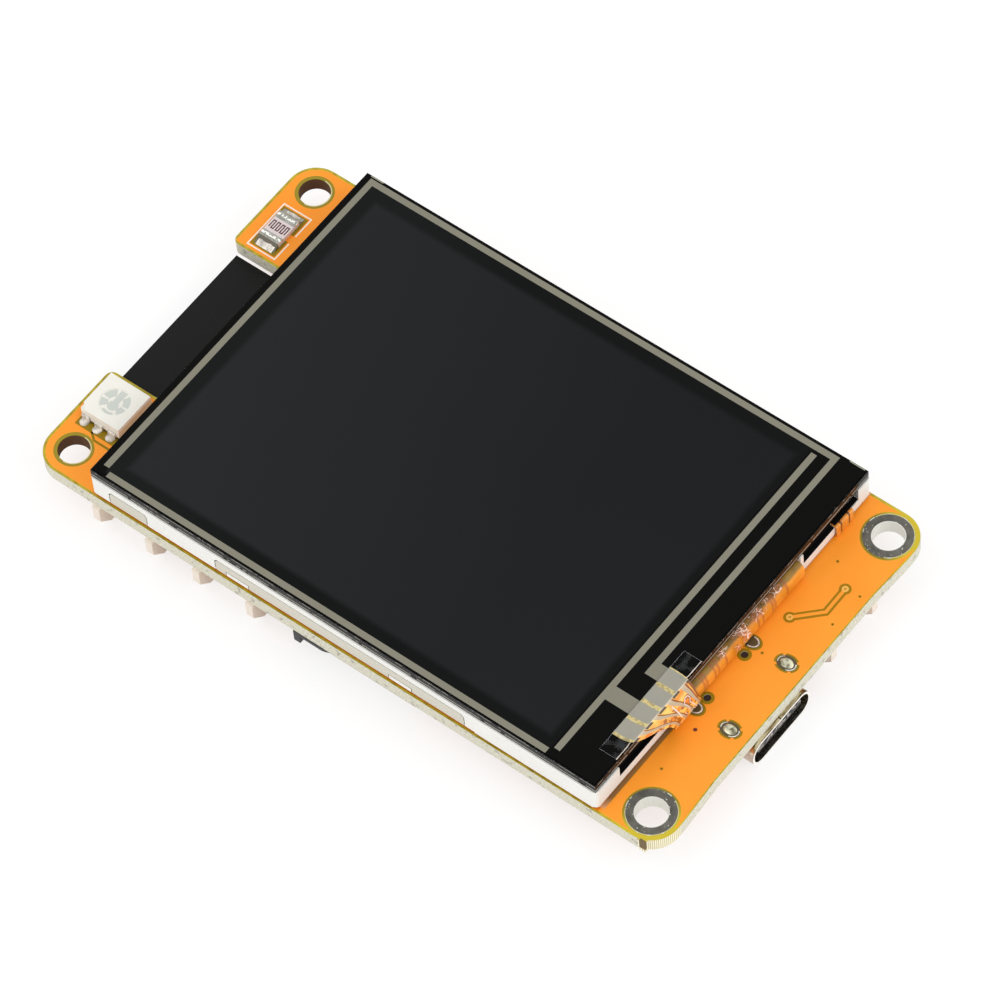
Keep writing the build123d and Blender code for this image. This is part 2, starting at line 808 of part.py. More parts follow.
can_plane = Plane(
    origin=(module_x + antenna_len + can_len / 2, 0, back - module_t),
    x_dir=(1, 0, 0),
    z_dir=(0, 0, -1),
)
with BuildPart() as shield_can:
    with BuildSketch(can_plane):
        RectangleRounded(can_len, can_wid, can_corner_r)
    extrude(amount=can_h)
    chamfer(shield_can.faces().sort_by(Axis.Z)[0].edges(), can_wall / 2)
    with BuildSketch(can_plane):
        RectangleRounded(can_len - 2 * can_wall, can_wid - 2 * can_wall, can_corner_r - can_wall)
    extrude(amount=can_h - can_wall, mode=Mode.SUBTRACT)
save(shield_can, "shield_can")

with BuildPart() as module_chips:
    with BuildSketch(Plane.XY.offset(back - module_t)):
        with Locations((module_x + radio_chip_x, 0)):
            Rectangle(radio_chip_size, radio_chip_size)
        with Locations((module_x + memory_chip_x, 0)):
            Rectangle(memory_chip_wid, memory_chip_len)
    extrude(amount=-inner_chip_h)
save(module_chips, "module_chips")

# USB receptacle: a drawn steel shell with four posts through the board
usb_z = back - usb_h / 2
mouth = Plane(origin=(usb_mouth_x, usb_y, usb_z), x_dir=(0, 1, 0), z_dir=(1, 0, 0))
with BuildPart() as usb_shell:
    with BuildSketch(mouth):
        RectangleRounded(usb_wid, usb_h, usb_corner_r)
    extrude(amount=-usb_len)
    with BuildSketch(Plane.XY.offset(usb_z)):
        for post_x in (front_post_x, rear_post_x):
            with Locations((post_x, usb_y)):
                with GridLocations(0, 2 * usb_post_y, 1, 2):
                    Rectangle(usb_post_len, usb_post_t)
    extrude(amount=-usb_z + plating_t)
    with BuildSketch(mouth):
        RectangleRounded(usb_wid - 2 * usb_wall, usb_h - 2 * usb_wall, usb_corner_r - usb_wall)
    extrude(amount=-(usb_len - usb_wall), mode=Mode.SUBTRACT)
    with BuildSketch(Plane.XY.offset(back)):
        with Locations((peg_x, usb_y)):
            with GridLocations(0, 2 * peg_y, 1, 2):
                Circle(peg_dia / 2)
    extrude(amount=-usb_wall, mode=Mode.SUBTRACT)
save(usb_shell, "usb_shell")

# Its black block with two pegs and a tongue that reaches toward the mouth
block_plane = mouth.offset(-(usb_len - usb_wall))
with BuildPart() as usb_tongue:
    with BuildSketch(block_plane):
        RectangleRounded(usb_wid - 2 * usb_wall, usb_h - 2 * usb_wall, usb_corner_r - usb_wall)
    extrude(amount=usb_block_len)
    with BuildSketch(block_plane.offset(usb_block_len)):
        Rectangle(tongue_wid, tongue_t)
    extrude(amount=tongue_len)
    with BuildSketch(Plane.XY.offset(back - usb_wall)):
        with Locations((peg_x, usb_y)):
            with GridLocations(0, 2 * peg_y, 1, 2):
                Circle(peg_dia / 2)
    extrude(amount=usb_wall + peg_len)
save(usb_tongue, "usb_tongue")

# Contacts on both faces of the tongue
with BuildPart() as usb_contacts:
    with BuildSketch(block_plane.offset(usb_block_len)):
        with GridLocations(usb_contact_pitch, tongue_t + usb_contact_t, usb_contact_count, 2):
            Rectangle(usb_contact_wid, usb_contact_t)
    extrude(amount=tongue_len - 2 * usb_contact_pitch)
save(usb_contacts, "usb_contacts")


def socket_pin_row(place, pins):
    """The bent pins of one wire socket: contact, back wall, then a foot on the board."""
    height = socket_h / 2
    with BuildPart() as row:
        for index in range(pins):
            shift = (index - (pins - 1) / 2) * pin_pitch
            with BuildSketch(side_of(place, shift)):
                with BuildLine():
                    Polyline(
                        (socket_back + pin_reach, height),
                        (-pin_size, height),
                        (-pin_size, pin_size / 2),
                        (-pin_tail, pin_size / 2),
                    )
                trace(line_width=pin_size)
            extrude(amount=pin_size / 2, both=True)
    return row


def socket_nail_pair(place, width):
    """The two solder nails that stand against a wire socket's sides."""
    middle = socket_depth / 2
    with BuildPart() as pair:
        with BuildSketch(place):
            with Locations((0, middle)):
                with GridLocations(width + nail_t, 0, 2, 1):
                    Rectangle(nail_t, nail_wid)
        extrude(amount=nail_h)
        with BuildSketch(place):
            with Locations((0, middle)):
                with GridLocations(width + nail_foot, 0, 2, 1):
                    Rectangle(nail_foot, nail_wid)
        extrude(amount=nail_t)
    return pair


def socket_body(place, pins, width):
    """The moulded body of one wire socket: two lugs, a hood and floor set back between them."""
    inner = width - 2 * socket_wall
    hood_end = socket_depth - lug_reach
    with BuildPart() as body:
        with BuildSketch(side_of(place)):
            with BuildLine():
                Polyline(
                    (0, 0),
                    (socket_depth, 0),
                    (socket_depth, lug_tip_h),
                    (socket_depth - lug_slope, socket_h),
                    (0, socket_h),
                    close=True,
                )
            make_face()
        extrude(amount=width / 2, both=True)
        with BuildSketch(place):
            with Locations((0, socket_depth - lug_reach / 2)):
                Rectangle(inner, lug_reach)
        extrude(amount=socket_h, mode=Mode.SUBTRACT)
        with BuildSketch(place.offset(socket_floor)):
            with Locations((0, (socket_back + hood_end) / 2)):
                Rectangle(inner, hood_end - socket_back)
        extrude(amount=socket_h - 2 * socket_floor, mode=Mode.SUBTRACT)
        add(socket_pin_row(place, pins).part, mode=Mode.SUBTRACT)
    return body


# Five wire sockets on the back, with their mouths at the board's edges
wire_sockets = {
    "wire_socket_a": (underside(socket_a_x, -side_back_y), wide_pin_count),
    "wire_socket_b": (underside(socket_b_x, -side_back_y), wide_pin_count),
    "wire_socket_c": (underside(socket_c_x, socket_c_y, row=(0, 1, 0)), wide_pin_count),
    "battery_socket": (underside(battery_socket_x, side_back_y, row=(-1, 0, 0)), narrow_pin_count),
    "speaker_socket": (underside(speaker_socket_x, side_back_y, row=(-1, 0, 0)), narrow_pin_count),
}
pin_rows = []
nail_pairs = []
for node, (place, pins) in wire_sockets.items():
    width = (pins - 1) * pin_pitch + 2 * socket_side
    save(socket_body(place, pins, width), node)
    pin_rows.append(socket_pin_row(place, pins))
    nail_pairs.append(socket_nail_pair(place, width))

with BuildPart() as socket_pins:
    for row in pin_rows:
        add(row.part)
save(socket_pins, "socket_pins")

with BuildPart() as socket_nails:
    for pair in nail_pairs:
        add(pair.part)
save(socket_nails, "socket_nails")

# Memory card slot: a black base whose front lip curves back behind the board's edge
card_left = card_x - card_wid / 2 + card_shell_t
card_right = card_x + card_wid / 2 - card_shell_t
card_back_y = card_front_y + card_len
card_hood_y = card_front_y + card_scoop
cavity_wid = card_wid - 2 * card_wall
cavity_len = card_len - card_back
with BuildPart() as card_slot_base:
    with BuildSketch(Plane.XY.offset(back)):
        with BuildLine():
            Polyline(
                (card_left + card_lip_len + card_scoop_len, card_hood_y),
                (card_right, card_hood_y),
                (card_right, card_back_y),
                (card_left, card_back_y),
                (card_left, card_front_y),
                (card_left + card_lip_len, card_front_y),
            )
            Spline(
                (card_left + card_lip_len, card_front_y),
                (card_left + card_lip_len + card_scoop_len, card_hood_y),
                tangents=((1, 0), (1, 0)),
            )
        make_face()
    extrude(amount=card_shell_t - card_h)
    with BuildSketch(Plane.XY.offset(back - card_floor_t)):
        with Locations((card_x, card_front_y + cavity_len / 2)):
            Rectangle(cavity_wid, cavity_len)
    extrude(amount=card_floor_t - card_h, mode=Mode.SUBTRACT)
save(card_slot_base, "card_slot_base")

shell_mid_y = (card_hood_y + card_back_y) / 2
with BuildPart() as card_slot_shell:
    with BuildSketch(Plane.XY.offset(back)):
        with Locations((card_x, shell_mid_y)):
            Rectangle(card_wid, card_back_y - card_hood_y)
    extrude(amount=-card_h)
    with BuildSketch(Plane.XY.offset(back)):
        with Locations((card_x, shell_mid_y)):
            Rectangle(card_wid - 2 * card_shell_t, card_back_y - card_hood_y)
    extrude(amount=card_shell_t - card_h, mode=Mode.SUBTRACT)
save(card_slot_shell, "card_slot_shell")

with BuildPart() as card_slot_contacts:
    contact_mid_y = card_back_y - card_back - card_contact_len / 2
    with BuildSketch(Plane.XY.offset(back - card_floor_t)):
        with Locations((card_x, contact_mid_y)):
            with GridLocations(card_contact_pitch, 0, card_contact_count, 1):
                Rectangle(card_contact_wid, card_contact_len)
    extrude(amount=-card_shell_t)
    with BuildSketch(Plane.XY.offset(back)):
        with Locations((card_x, card_back_y + card_tail / 2)):
            with GridLocations(card_contact_pitch, 0, card_contact_count, 1):
                Rectangle(card_contact_wid, card_tail)
    extrude(amount=-card_shell_t)
save(card_slot_contacts, "card_slot_contacts")


def push_button(name, x, y):
    """A tact switch on the back: a cupped base, a metal cover and a captive plunger."""
    place = underside(x, y)
    cover_place = place.offset(button_base_h)
    with BuildPart() as base:
        with BuildSketch(place):
            Rectangle(button_size, button_size)
        extrude(amount=button_base_h)
        with BuildSketch(cover_place):
            Circle(button_cup_dia / 2)
        extrude(amount=-button_cup_depth, mode=Mode.SUBTRACT)
    save(base, f"{name}_button_base")
    with BuildPart() as cover:
        with BuildSketch(cover_place):
            Rectangle(button_size, button_size)
            Circle(button_dia / 2 + button_gap, mode=Mode.SUBTRACT)
        extrude(amount=button_cover_t)
    save(cover, f"{name}_button_cover")
    with BuildPart() as plunger:
        with BuildSketch(cover_place.offset(-button_top_gap)):
            Circle(button_flange_dia / 2)
        extrude(amount=-button_flange_t)
        with BuildSketch(cover_place.offset(-button_top_gap)):
            Circle(button_dia / 2)
        extrude(amount=button_top_gap + button_cover_t + button_h)
    save(plunger, f"{name}_button_plunger")


push_button("reset", reset_button_x, button_y)
push_button("boot", boot_button_x, button_y)

with BuildPart() as button_leads:
    for button_x in (reset_button_x, boot_button_x):
        with BuildSketch(Plane.XY.offset(back)):
            with Locations((button_x, button_y)):
                with GridLocations(button_size + button_lead_reach, 2 * button_lead_y, 2, 2):
                    Rectangle(button_lead_reach, button_lead_wid)
        extrude(amount=-chip_lead_t)
save(button_leads, "button_leads")


def chip_leads(x, y, width, height, sides, reach):
    """The bent leads of one package: (count, pitch, lead width) on its -Y and its +Y side."""
    with BuildPart() as leads:
        for row, (count, pitch, lead_wid) in zip(((1, 0, 0), (-1, 0, 0)), sides):
            place = underside(x, y, row)
            for index in range(count):
                shift = (index - (count - 1) / 2) * pitch
                with BuildSketch(side_of(place, shift)):
                    with BuildLine():
                        Polyline(
                            (width / 2, height / 2),
                            (width / 2 + reach - chip_foot, height / 2),
                            (width / 2 + reach - chip_foot, chip_lead_t / 2),
                            (width / 2 + reach, chip_lead_t / 2),
                        )
                    trace(line_width=chip_lead_t)
                extrude(amount=lead_wid / 2, both=True)
    return leads


def chip(x, y, package, sides, reach):
    """One moulded package, standing half a lead's thickness off the board, and its leads."""
    length, width, height = package
    with BuildPart() as body:
        with BuildSketch(underside(x, y).offset(chip_lead_t / 2)):
            Rectangle(length, width)
        extrude(amount=height - chip_lead_t / 2)
        chamfer(body.edges().filter_by(Axis.X).group_by(Axis.Z)[0], chip_lead_t)
    return body, chip_leads(x, y, width, height, sides, reach)


# Chips on the back, with the leads of all of them in one node
eight_a_side = (8, wide_pitch, wide_lead)
four_a_side = (4, wide_pitch, wide_lead)
fine_eight = (8, fine_pitch, fine_lead)
regulator_sides = ((3, regulator_pitch, regulator_lead), (1, 0, regulator_tab))
transistor_sides = ((2, transistor_pitch, wide_lead), (1, 0, wide_lead))
wide_eights = (eight_a_side, eight_a_side)
wide_fours = (four_a_side, four_a_side)
serial_chip = chip(serial_chip_x, serial_chip_y, long_package, wide_eights, lead_reach)
touch_chip = chip(touch_chip_x, touch_chip_y, thin_package, (fine_eight, fine_eight), lead_reach)
sound_chip = chip(sound_chip_x, sound_chip_y, short_package, wide_fours, lead_reach)
charge_chip = chip(charge_chip_x, charge_chip_y, short_package, wide_fours, lead_reach)
regulator = chip(regulator_x, regulator_y, regulator_package, regulator_sides, regulator_reach)
transistor_pieces = [
    chip(transistor_x, y, transistor_package, transistor_sides, transistor_reach)
    for y in transistor_ys
]
save(serial_chip[0], "usb_serial_chip")
save(touch_chip[0], "touch_controller_chip")
save(sound_chip[0], "audio_amplifier_chip")
save(charge_chip[0], "battery_charger_chip")
save(regulator[0], "regulator_chip")

with BuildPart() as transistors:
    for body, _ in transistor_pieces:
        add(body.part)
save(transistors, "transistors")

with BuildPart() as all_chip_leads:
    for _, leads in [serial_chip, touch_chip, sound_chip, charge_chip, regulator, *transistor_pieces]:
        add(leads.part)
save(all_chip_leads, "chip_leads")


def parts_in_rows(rows, step, length, width, height, cap):
    """Small two-terminal parts in rows of (first x, y, count): their bodies, and their end caps."""
    with BuildPart() as bodies:
        for x, y, count in rows:
            with BuildSketch(Plane.XY.offset(back)):
                with Locations((x + step * (count - 1) / 2, y)):
                    with GridLocations(step, 0, count, 1):
                        Rectangle(width, length - 2 * cap)
            extrude(amount=-height)
    with BuildPart() as caps:
        for x, y, count in rows:
            with BuildSketch(Plane.XY.offset(back)):
                with Locations((x + step * (count - 1) / 2, y)):
                    with GridLocations(step, length - cap, count, 2):
                        Rectangle(width, cap)
            extrude(amount=-height)
    return bodies, caps


resistors, resistor_ends = parts_in_rows(
    resistor_rows, resistor_step, resistor_len, resistor_wid, resistor_h, resistor_cap
)
save(resistors, "resistors")
save(resistor_ends, "resistor_ends")
capacitors, capacitor_ends = parts_in_rows(
    capacitor_rows, capacitor_step, capacitor_len, capacitor_wid, capacitor_h, capacitor_cap
)
save(capacitors, "capacitors")
save(capacitor_ends, "capacitor_ends")
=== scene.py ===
"""Looks of the touch display development board: materials, printed detail, floor, lights, camera.

Sizes are in millimetres, as on the part; MM turns them into the scene's metres.
"""

import json
import math
import random

import bpy
from mathutils import Matrix, Vector


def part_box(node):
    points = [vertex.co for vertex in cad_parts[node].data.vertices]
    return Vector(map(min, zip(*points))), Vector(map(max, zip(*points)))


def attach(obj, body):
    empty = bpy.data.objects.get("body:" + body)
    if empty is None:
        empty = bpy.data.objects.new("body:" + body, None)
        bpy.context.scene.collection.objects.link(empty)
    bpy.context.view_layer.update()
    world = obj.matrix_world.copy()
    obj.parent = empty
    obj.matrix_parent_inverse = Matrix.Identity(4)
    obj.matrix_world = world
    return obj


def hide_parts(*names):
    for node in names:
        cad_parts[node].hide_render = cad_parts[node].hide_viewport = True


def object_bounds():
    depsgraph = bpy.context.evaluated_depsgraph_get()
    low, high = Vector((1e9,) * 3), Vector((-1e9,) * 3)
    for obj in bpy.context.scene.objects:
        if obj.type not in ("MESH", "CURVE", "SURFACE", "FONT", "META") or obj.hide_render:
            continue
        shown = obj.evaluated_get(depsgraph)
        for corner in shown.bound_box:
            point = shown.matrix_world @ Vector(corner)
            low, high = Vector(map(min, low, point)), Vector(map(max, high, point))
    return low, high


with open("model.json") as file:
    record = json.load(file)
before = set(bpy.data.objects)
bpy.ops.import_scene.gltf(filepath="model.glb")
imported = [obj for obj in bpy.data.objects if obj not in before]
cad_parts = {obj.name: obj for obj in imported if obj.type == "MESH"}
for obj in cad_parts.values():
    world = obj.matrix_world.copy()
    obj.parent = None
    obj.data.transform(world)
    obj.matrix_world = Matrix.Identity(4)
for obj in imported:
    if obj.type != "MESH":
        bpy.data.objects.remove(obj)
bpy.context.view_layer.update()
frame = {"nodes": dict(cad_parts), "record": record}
nodes = frame["nodes"]
scene = bpy.context.scene
MM = 0.001


def box_mm(node):
    """Lowest and highest corner of a CAD node, in millimetres."""
    low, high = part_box(node)
    return low / MM, high / MM


# Levels and edges read from the frame
board_high = box_mm("circuit_board")[1]
film_low, film_high = box_mm("touch_film")
panel_low, panel_high = box_mm("backlight_frame")
glass_low, glass_high = box_mm("touch_glass")
shell_low, shell_high = box_mm("usb_shell")
lamp_low, lamp_high = box_mm("rgb_led_body")
traces_low, traces_high = box_mm("silver_traces")
sensor_high = box_mm("light_sensor_body")[1]
BOARD_TOP = 0.0
BOARD_BACK = box_mm("module_board")[1].z
END_X = board_high.x
SIDE_Y = board_high.y
FILM_TOP = film_high.z
PANEL_MID_X = (panel_low.x + panel_high.x) / 2
PANEL_HALF = (panel_high.x - panel_low.x) / 2

# Outline of the board: corner holes, round corners, eased end, notch and break-off stub
HOLE_INSET = 3.0
HOLE_X = END_X - HOLE_INSET
HOLE_Y = SIDE_Y - HOLE_INSET
HOLE_R = 1.6
CORNER_R = 3.0
END_RELIEF = 0.28
RELIEF_Y = HOLE_Y - math.sqrt(CORNER_R**2 - (CORNER_R - END_RELIEF) ** 2)
RELIEF_RUN = 5.0
NOTCH_SIDE_Y = 9.3
NOTCH_END_X = -31.2
STUB_X = 35.68

# Where the mask stops at the outline and the holes, and the strip shaded by the panel
RIM_WID = 0.27
RIM_WID_BY_PANEL = 0.21
END_RIM_SHIFT = 0.13
PLAIN_CLEAR_R = 1.98
PLATED_CLEAR_R = 2.72
SHADE_START_X = 30.0
SHADE_END_X = (30.78, 30.34)

# USB receptacle: middle, width, and the slots of its posts and pegs
USB_Y = -2.78
SHELL_WID = 8.94
FRONT_POSTS, REAR_POSTS, PEGS = (
    [(x, USB_Y - reach), (x, USB_Y + reach)] for x, reach in ((35.04, 4.42), (30.97, 4.42), (31.3, 2.89))
)

# Touch film: the picture under it, the printed window round that, and the silver ink
VIEW_X = (-27.0, 23.95)
VIEW_Y = (-19.45, 19.0)
WINDOW_MID = (-1.9, -0.25)
WINDOW_HALF = (26.4, 20.4)
INK_WID = 0.66
OUTER_SPAN = 55.53
INNER_SPAN = 53.62
PAD_WID = 1.7
PAD_PITCH = 2.18
PAD_START_X = film_high.x - 1.93

# Flexes, and the clear tape over the touch flex
FLEX_LINES = (7.5, 5.6, 5.2, 3.7, 3.0, -2.0, -3.2, -3.75, -5.0, -5.4)
TAIL_LINES = (16.25, 17.5)
FILM_EDGE_DOWN = 0.205
TAPE_START_X = 28.18
TAPE_MID_Y = -11.31
TAPE_REACH = 6.5
FOLD_X = film_high.x - 0.02

# Where painted shade darkens the slits round the tray's flanges and the gap under the lamp, and the rows of
# painted glints on the sensor's caps
FLANGE_GAP_TOP = 2.25
FLANGE_GAP_INSET = 0.085
FLANGE_GAP_HALF = 0.075
LAMP_SHADE_TOP = 0.34
SENSOR_GLINT_ROWS = (14.22, 11.68)
SENSOR_NEAR_Y = 11.24

# Height of printed marks above what carries them, and from one layer to the next
PRINT = 0.012
STEP = 0.008


# Colours and shader arithmetic


def rgb(red, green, blue):
    """A scene colour from display values of 0 to 255."""
    linear = []
    for value in (red, green, blue):
        part = value / 255
        linear.append(part / 12.92 if part <= 0.04045 else ((part + 0.055) / 1.055) ** 2.4)
    return (*linear, 1.0)


class Wire:
    """One output in a material's node tree. Arithmetic on it adds math nodes."""

    def __init__(self, tree, socket=None):
        self.tree = tree
        self.socket = socket

    def plug(self, value, target):
        """Link a wire to a socket, or set the socket to a plain value."""
        if isinstance(value, Wire):
            self.tree.links.new(value.socket, target)
        else:
            target.default_value = value

    def node(self, kind, settings, inputs, output=0):
        """Add any node and return one of its outputs."""
        made = self.tree.nodes.new(kind)
        for name, value in settings.items():
            setattr(made, name, value)
        for key, value in inputs.items():
            self.plug(value, made.inputs[key])
        return Wire(self.tree, made.outputs[output])

    def math(self, operation, *values):
        return self.node("ShaderNodeMath", {"operation": operation}, dict(enumerate(values)))

    def __add__(self, other):
        return self.math("ADD", self, other)

    def __sub__(self, other):
        return self.math("SUBTRACT", self, other)

    def __rsub__(self, other):
        return self.math("SUBTRACT", other, self)

    def __mul__(self, other):
        return self.math("MULTIPLY", self, other)

    def __abs__(self):
        return self.math("ABSOLUTE", self)

    def __lt__(self, other):
        return self.math("LESS_THAN", self, other)

    def __gt__(self, other):
        return self.math("GREATER_THAN", self, other)

    def at_least(self, other):
        return self.math("MAXIMUM", self, other)

    def at_most(self, other):
        return self.math("MINIMUM", self, other)

    def length(self, other):
        """Distance made of two perpendicular parts."""
        return self.math("SQRT", self * self + other * other)

    def fraction(self):
        """What is left of the value beside its whole number."""
        return self.math("FRACT", self)

    def ramp(self, start, end, low=0.0, high=1.0):
        """Straight change from low to high while the value goes from start to end."""
        return self.node("ShaderNodeMapRange", {}, {0: self, 1: start, 2: end, 3: low, 4: high})

    def place(self):
        """The x, y and z of the shaded point, in millimetres."""
        coords = self.node("ShaderNodeTexCoord", {}, {}, "Object")
        scaled = self.node("ShaderNodeVectorMath", {"operation": "SCALE"}, {0: coords, 3: 1 / MM})
        return [self.node("ShaderNodeSeparateXYZ", {}, {0: scaled}, axis) for axis in range(3)]

    def facing_up(self):
        """How far the surface faces up or down: 0 on walls, 1 on level faces."""
        normal = self.node("ShaderNodeNewGeometry", {}, {}, "Normal")
        return abs(self.node("ShaderNodeSeparateXYZ", {}, {0: normal}, 2))

    def looked_at(self):
        """1 where the eye, a mirror or a clear piece looks, 0 where the surface only sends light."""
        seen = self.node("ShaderNodeLightPath", {}, {}, "Is Camera Ray")
        for kind in ("Is Glossy Ray", "Is Transmission Ray"):
            seen = seen.at_least(self.node("ShaderNodeLightPath", {}, {}, kind))
        return seen

    def noise(self, size, detail=3.0, stretch=(1, 1, 1)):
        """Cloudy pattern, 0 to 1, with blotches about size millimetres wide."""
        coords = self.node("ShaderNodeTexCoord", {}, {}, "Object")
        spread = self.node("ShaderNodeVectorMath", {"operation": "MULTIPLY"}, {0: coords, 1: stretch})
        return self.node(
            "ShaderNodeTexNoise", {}, {"Vector": spread, "Scale": 1 / (size * MM), "Detail": detail}
        )

    def mix(self, factor, first, second):
        """Colour that goes from first to second as factor goes from 0 to 1."""
        return self.node("ShaderNodeMix", {"data_type": "RGBA"}, {0: factor, 6: first, 7: second}, 2)

    def bump(self, height, depth):
        """Bent normal from a height of 0 to 1 that stands for depth millimetres."""
        return self.node("ShaderNodeBump", {}, {"Height": height, "Distance": depth * MM})


looks = {}


def material(name, base, rough, paint=None, **fixed):
    """Add a look: fixed values on the shader's own sockets, and paint(wire) for what varies."""
    made = bpy.data.materials.new(name)
    made.use_nodes = True
    shader = made.node_tree.nodes["Principled BSDF"]
    shader.inputs["Base Color"].default_value = base
    shader.inputs["Roughness"].default_value = rough
    for key, value in fixed.items():
        shader.inputs[key.replace("_", " ")].default_value = value
    if paint:
        wire = Wire(made.node_tree)
        for key, value in paint(wire).items():
            wire.plug(value, shader.inputs[key])
    looks[name] = made


def mottled(base, spread, rough, grain, depth):
    """Paint for a plain surface: slight colour clouds, uneven gloss and a fine grain."""
    dark = tuple(channel * (1 - spread) for channel in base[:3]) + (1.0,)

    def paint(wire):
        cloud = wire.noise(grain * 12)
        fine = wire.noise(grain)
        return {
            "Base Color": wire.mix(cloud, dark, base),
            "Roughness": fine.ramp(0.3, 0.7, rough * 0.85, rough * 1.15),
            "Normal": wire.bump(fine, depth),
        }

    return paint


def plain(name, base, rough, spread=0.08, grain=0.15, depth=0.01, **fixed):
    """Add a look of one colour with natural unevenness."""
    material(name, base, rough, mottled(base, spread, rough, grain, depth), **fixed)


# Materials

ORANGE = rgb(253, 156, 42)
ORANGE_DEEP = rgb(249, 149, 36)
OLIVE = rgb(150, 132, 26)
EDGE_OLIVE = rgb(188, 170, 44)
LAMINATE = rgb(226, 223, 208)
LAMINATE_SHADE = rgb(188, 184, 164)
# Dark brown painted shade on the walls of the drilled holes
HOLE_SHADE = rgb(96, 66, 42)


def to_board_edge(x, y):
    """Distance to the board's outline, with its round corners, notch and eased end."""
    across = (abs(x) - (END_X - CORNER_R)).at_least(0.0)
    along = (abs(y) - (SIDE_Y - CORNER_R)).at_least(0.0)
    to_outline = CORNER_R - across.length(along)
    past_notch = (x - NOTCH_END_X).at_least(0.0)
    beside_notch = (abs(y) - NOTCH_SIDE_Y).at_least(0.0)
    to_edge = to_outline.at_most(past_notch.length(beside_notch))
    between_corners = (x > 0.0) * (abs(y) < HOLE_Y)
    end_edge = abs(y).ramp(RELIEF_Y - RELIEF_RUN, RELIEF_Y, END_X - END_RELIEF, END_X)
    to_end = end_edge - x + END_RIM_SHIFT
    return to_edge + (to_end - to_edge) * between_corners


def board_face(wire, x, y, from_hole, display_side):
    """Level faces: orange mask, olive rims, painted shade deepening the orange on the near side beside the
    panel, and a brown strip where the panel shades the board.
    """
    to_edge = to_board_edge(x, y)
    plated = x > 0.0
    by_panel = (y < 1.0 - SIDE_Y) * (abs(x - PANEL_MID_X) < PANEL_HALF) * display_side
    rim_wid = by_panel.ramp(0.0, 1.0, RIM_WID, RIM_WID_BY_PANEL)
    clear_r = plated.ramp(0.0, 1.0, PLAIN_CLEAR_R, PLATED_CLEAR_R)
    bare = (to_edge < rim_wid).at_least(from_hole < clear_r)
    cloud = wire.noise(9.0)
    mask = wire.mix(cloud.ramp(0.35, 0.65), ORANGE_DEEP, ORANGE)
    # Painted shade: a deeper orange on the near side, where the panel shades the board
    mask = wire.mix(by_panel, mask, rgb(222, 126, 24))
    rim = wire.mix(wire.noise(0.8).ramp(0.3, 0.6) * (to_edge < 0.3), OLIVE, EDGE_OLIVE)
    outward = (x + abs(y)).ramp(HOLE_X + HOLE_Y - 1.0, HOLE_X + HOLE_Y + 1.6) * plated
    rim = wire.mix(outward, rim, rgb(198, 180, 42))
    # Painted highlight: a pale cream lip on the +x side of the plain holes at the -x end
    lit_hole_lip = (from_hole < HOLE_R + 0.1) * (abs(x + HOLE_X - 1.0) < 1.0)
    rim = wire.mix(lit_hole_lip, rim, rgb(214, 204, 160))
    strip_end = y.ramp(-10.0, 10.0, *SHADE_END_X)
    shade_beside_panel = (x > SHADE_START_X) * (x < strip_end) * (y > -20.8) * display_side
    strip = wire.mix(y.ramp(-12.0, 6.0), rgb(146, 104, 62), rgb(226, 170, 130))
    strip = wire.mix((x > strip_end - 0.1) * (y < 4.0), strip, rgb(156, 112, 26))
    strip = wire.mix(y.ramp(-21.0, -19.4), rgb(236, 170, 118), strip)
    return wire.mix(shade_beside_panel, wire.mix(bare, mask, rim), strip)


def board_wall(wire, x, y, from_hole, fibre):
    """Cut edges: pale fibres and torn spots, ribs beside the break-off stub, and painted shade down the
    drilled holes.
    """
    torn = wire.noise(0.7, 5.0) > 0.62
    wall = wire.mix(fibre.ramp(0.35, 0.65), LAMINATE_SHADE, LAMINATE)
    wall = wire.mix(torn * 0.6, wall, rgb(150, 148, 138))
    at_stub = (x > STUB_X - 0.5) * (y < 3.4 - SIDE_Y)
    ribs = ((x + y) * 3.7).fraction() < 0.45
    wall = wire.mix(at_stub, wall, wire.mix(ribs, rgb(236, 230, 202), rgb(200, 190, 150)))
    # Painted shade: the walls of the drilled holes are dark brown
    return wire.mix(from_hole < HOLE_R + 0.15, wall, HOLE_SHADE)


def paint_board(wire):
    """Masked faces, cut edges between them, and the burnt spot on the break-off stub."""
    x, y, z = wire.place()
    from_hole = (abs(x) - HOLE_X).length(abs(y) - HOLE_Y)
    fibre = wire.noise(0.25, 4.0, (1, 1, 4))
    weave = wire.noise(0.5, 2.0)
    level = wire.facing_up() > 0.5
    face = board_face(wire, x, y, from_hole, z > BOARD_BACK / 2)
    wall = board_wall(wire, x, y, from_hole, fibre)
    burnt = (abs(x - STUB_X) < 0.36) * (y < 0.22 - SIDE_Y) * (z > -1.2)
    scorch = wire.mix(fibre, rgb(74, 58, 36), rgb(140, 122, 86))
    return {
        "Base Color": wire.mix(burnt, wire.mix(level, wall, face), scorch),
        "Roughness": level.ramp(0.0, 1.0, 0.85, 0.42),
        "Normal": wire.bump(weave * level + fibre * (1 - level) * 4.0, 0.006),
    }


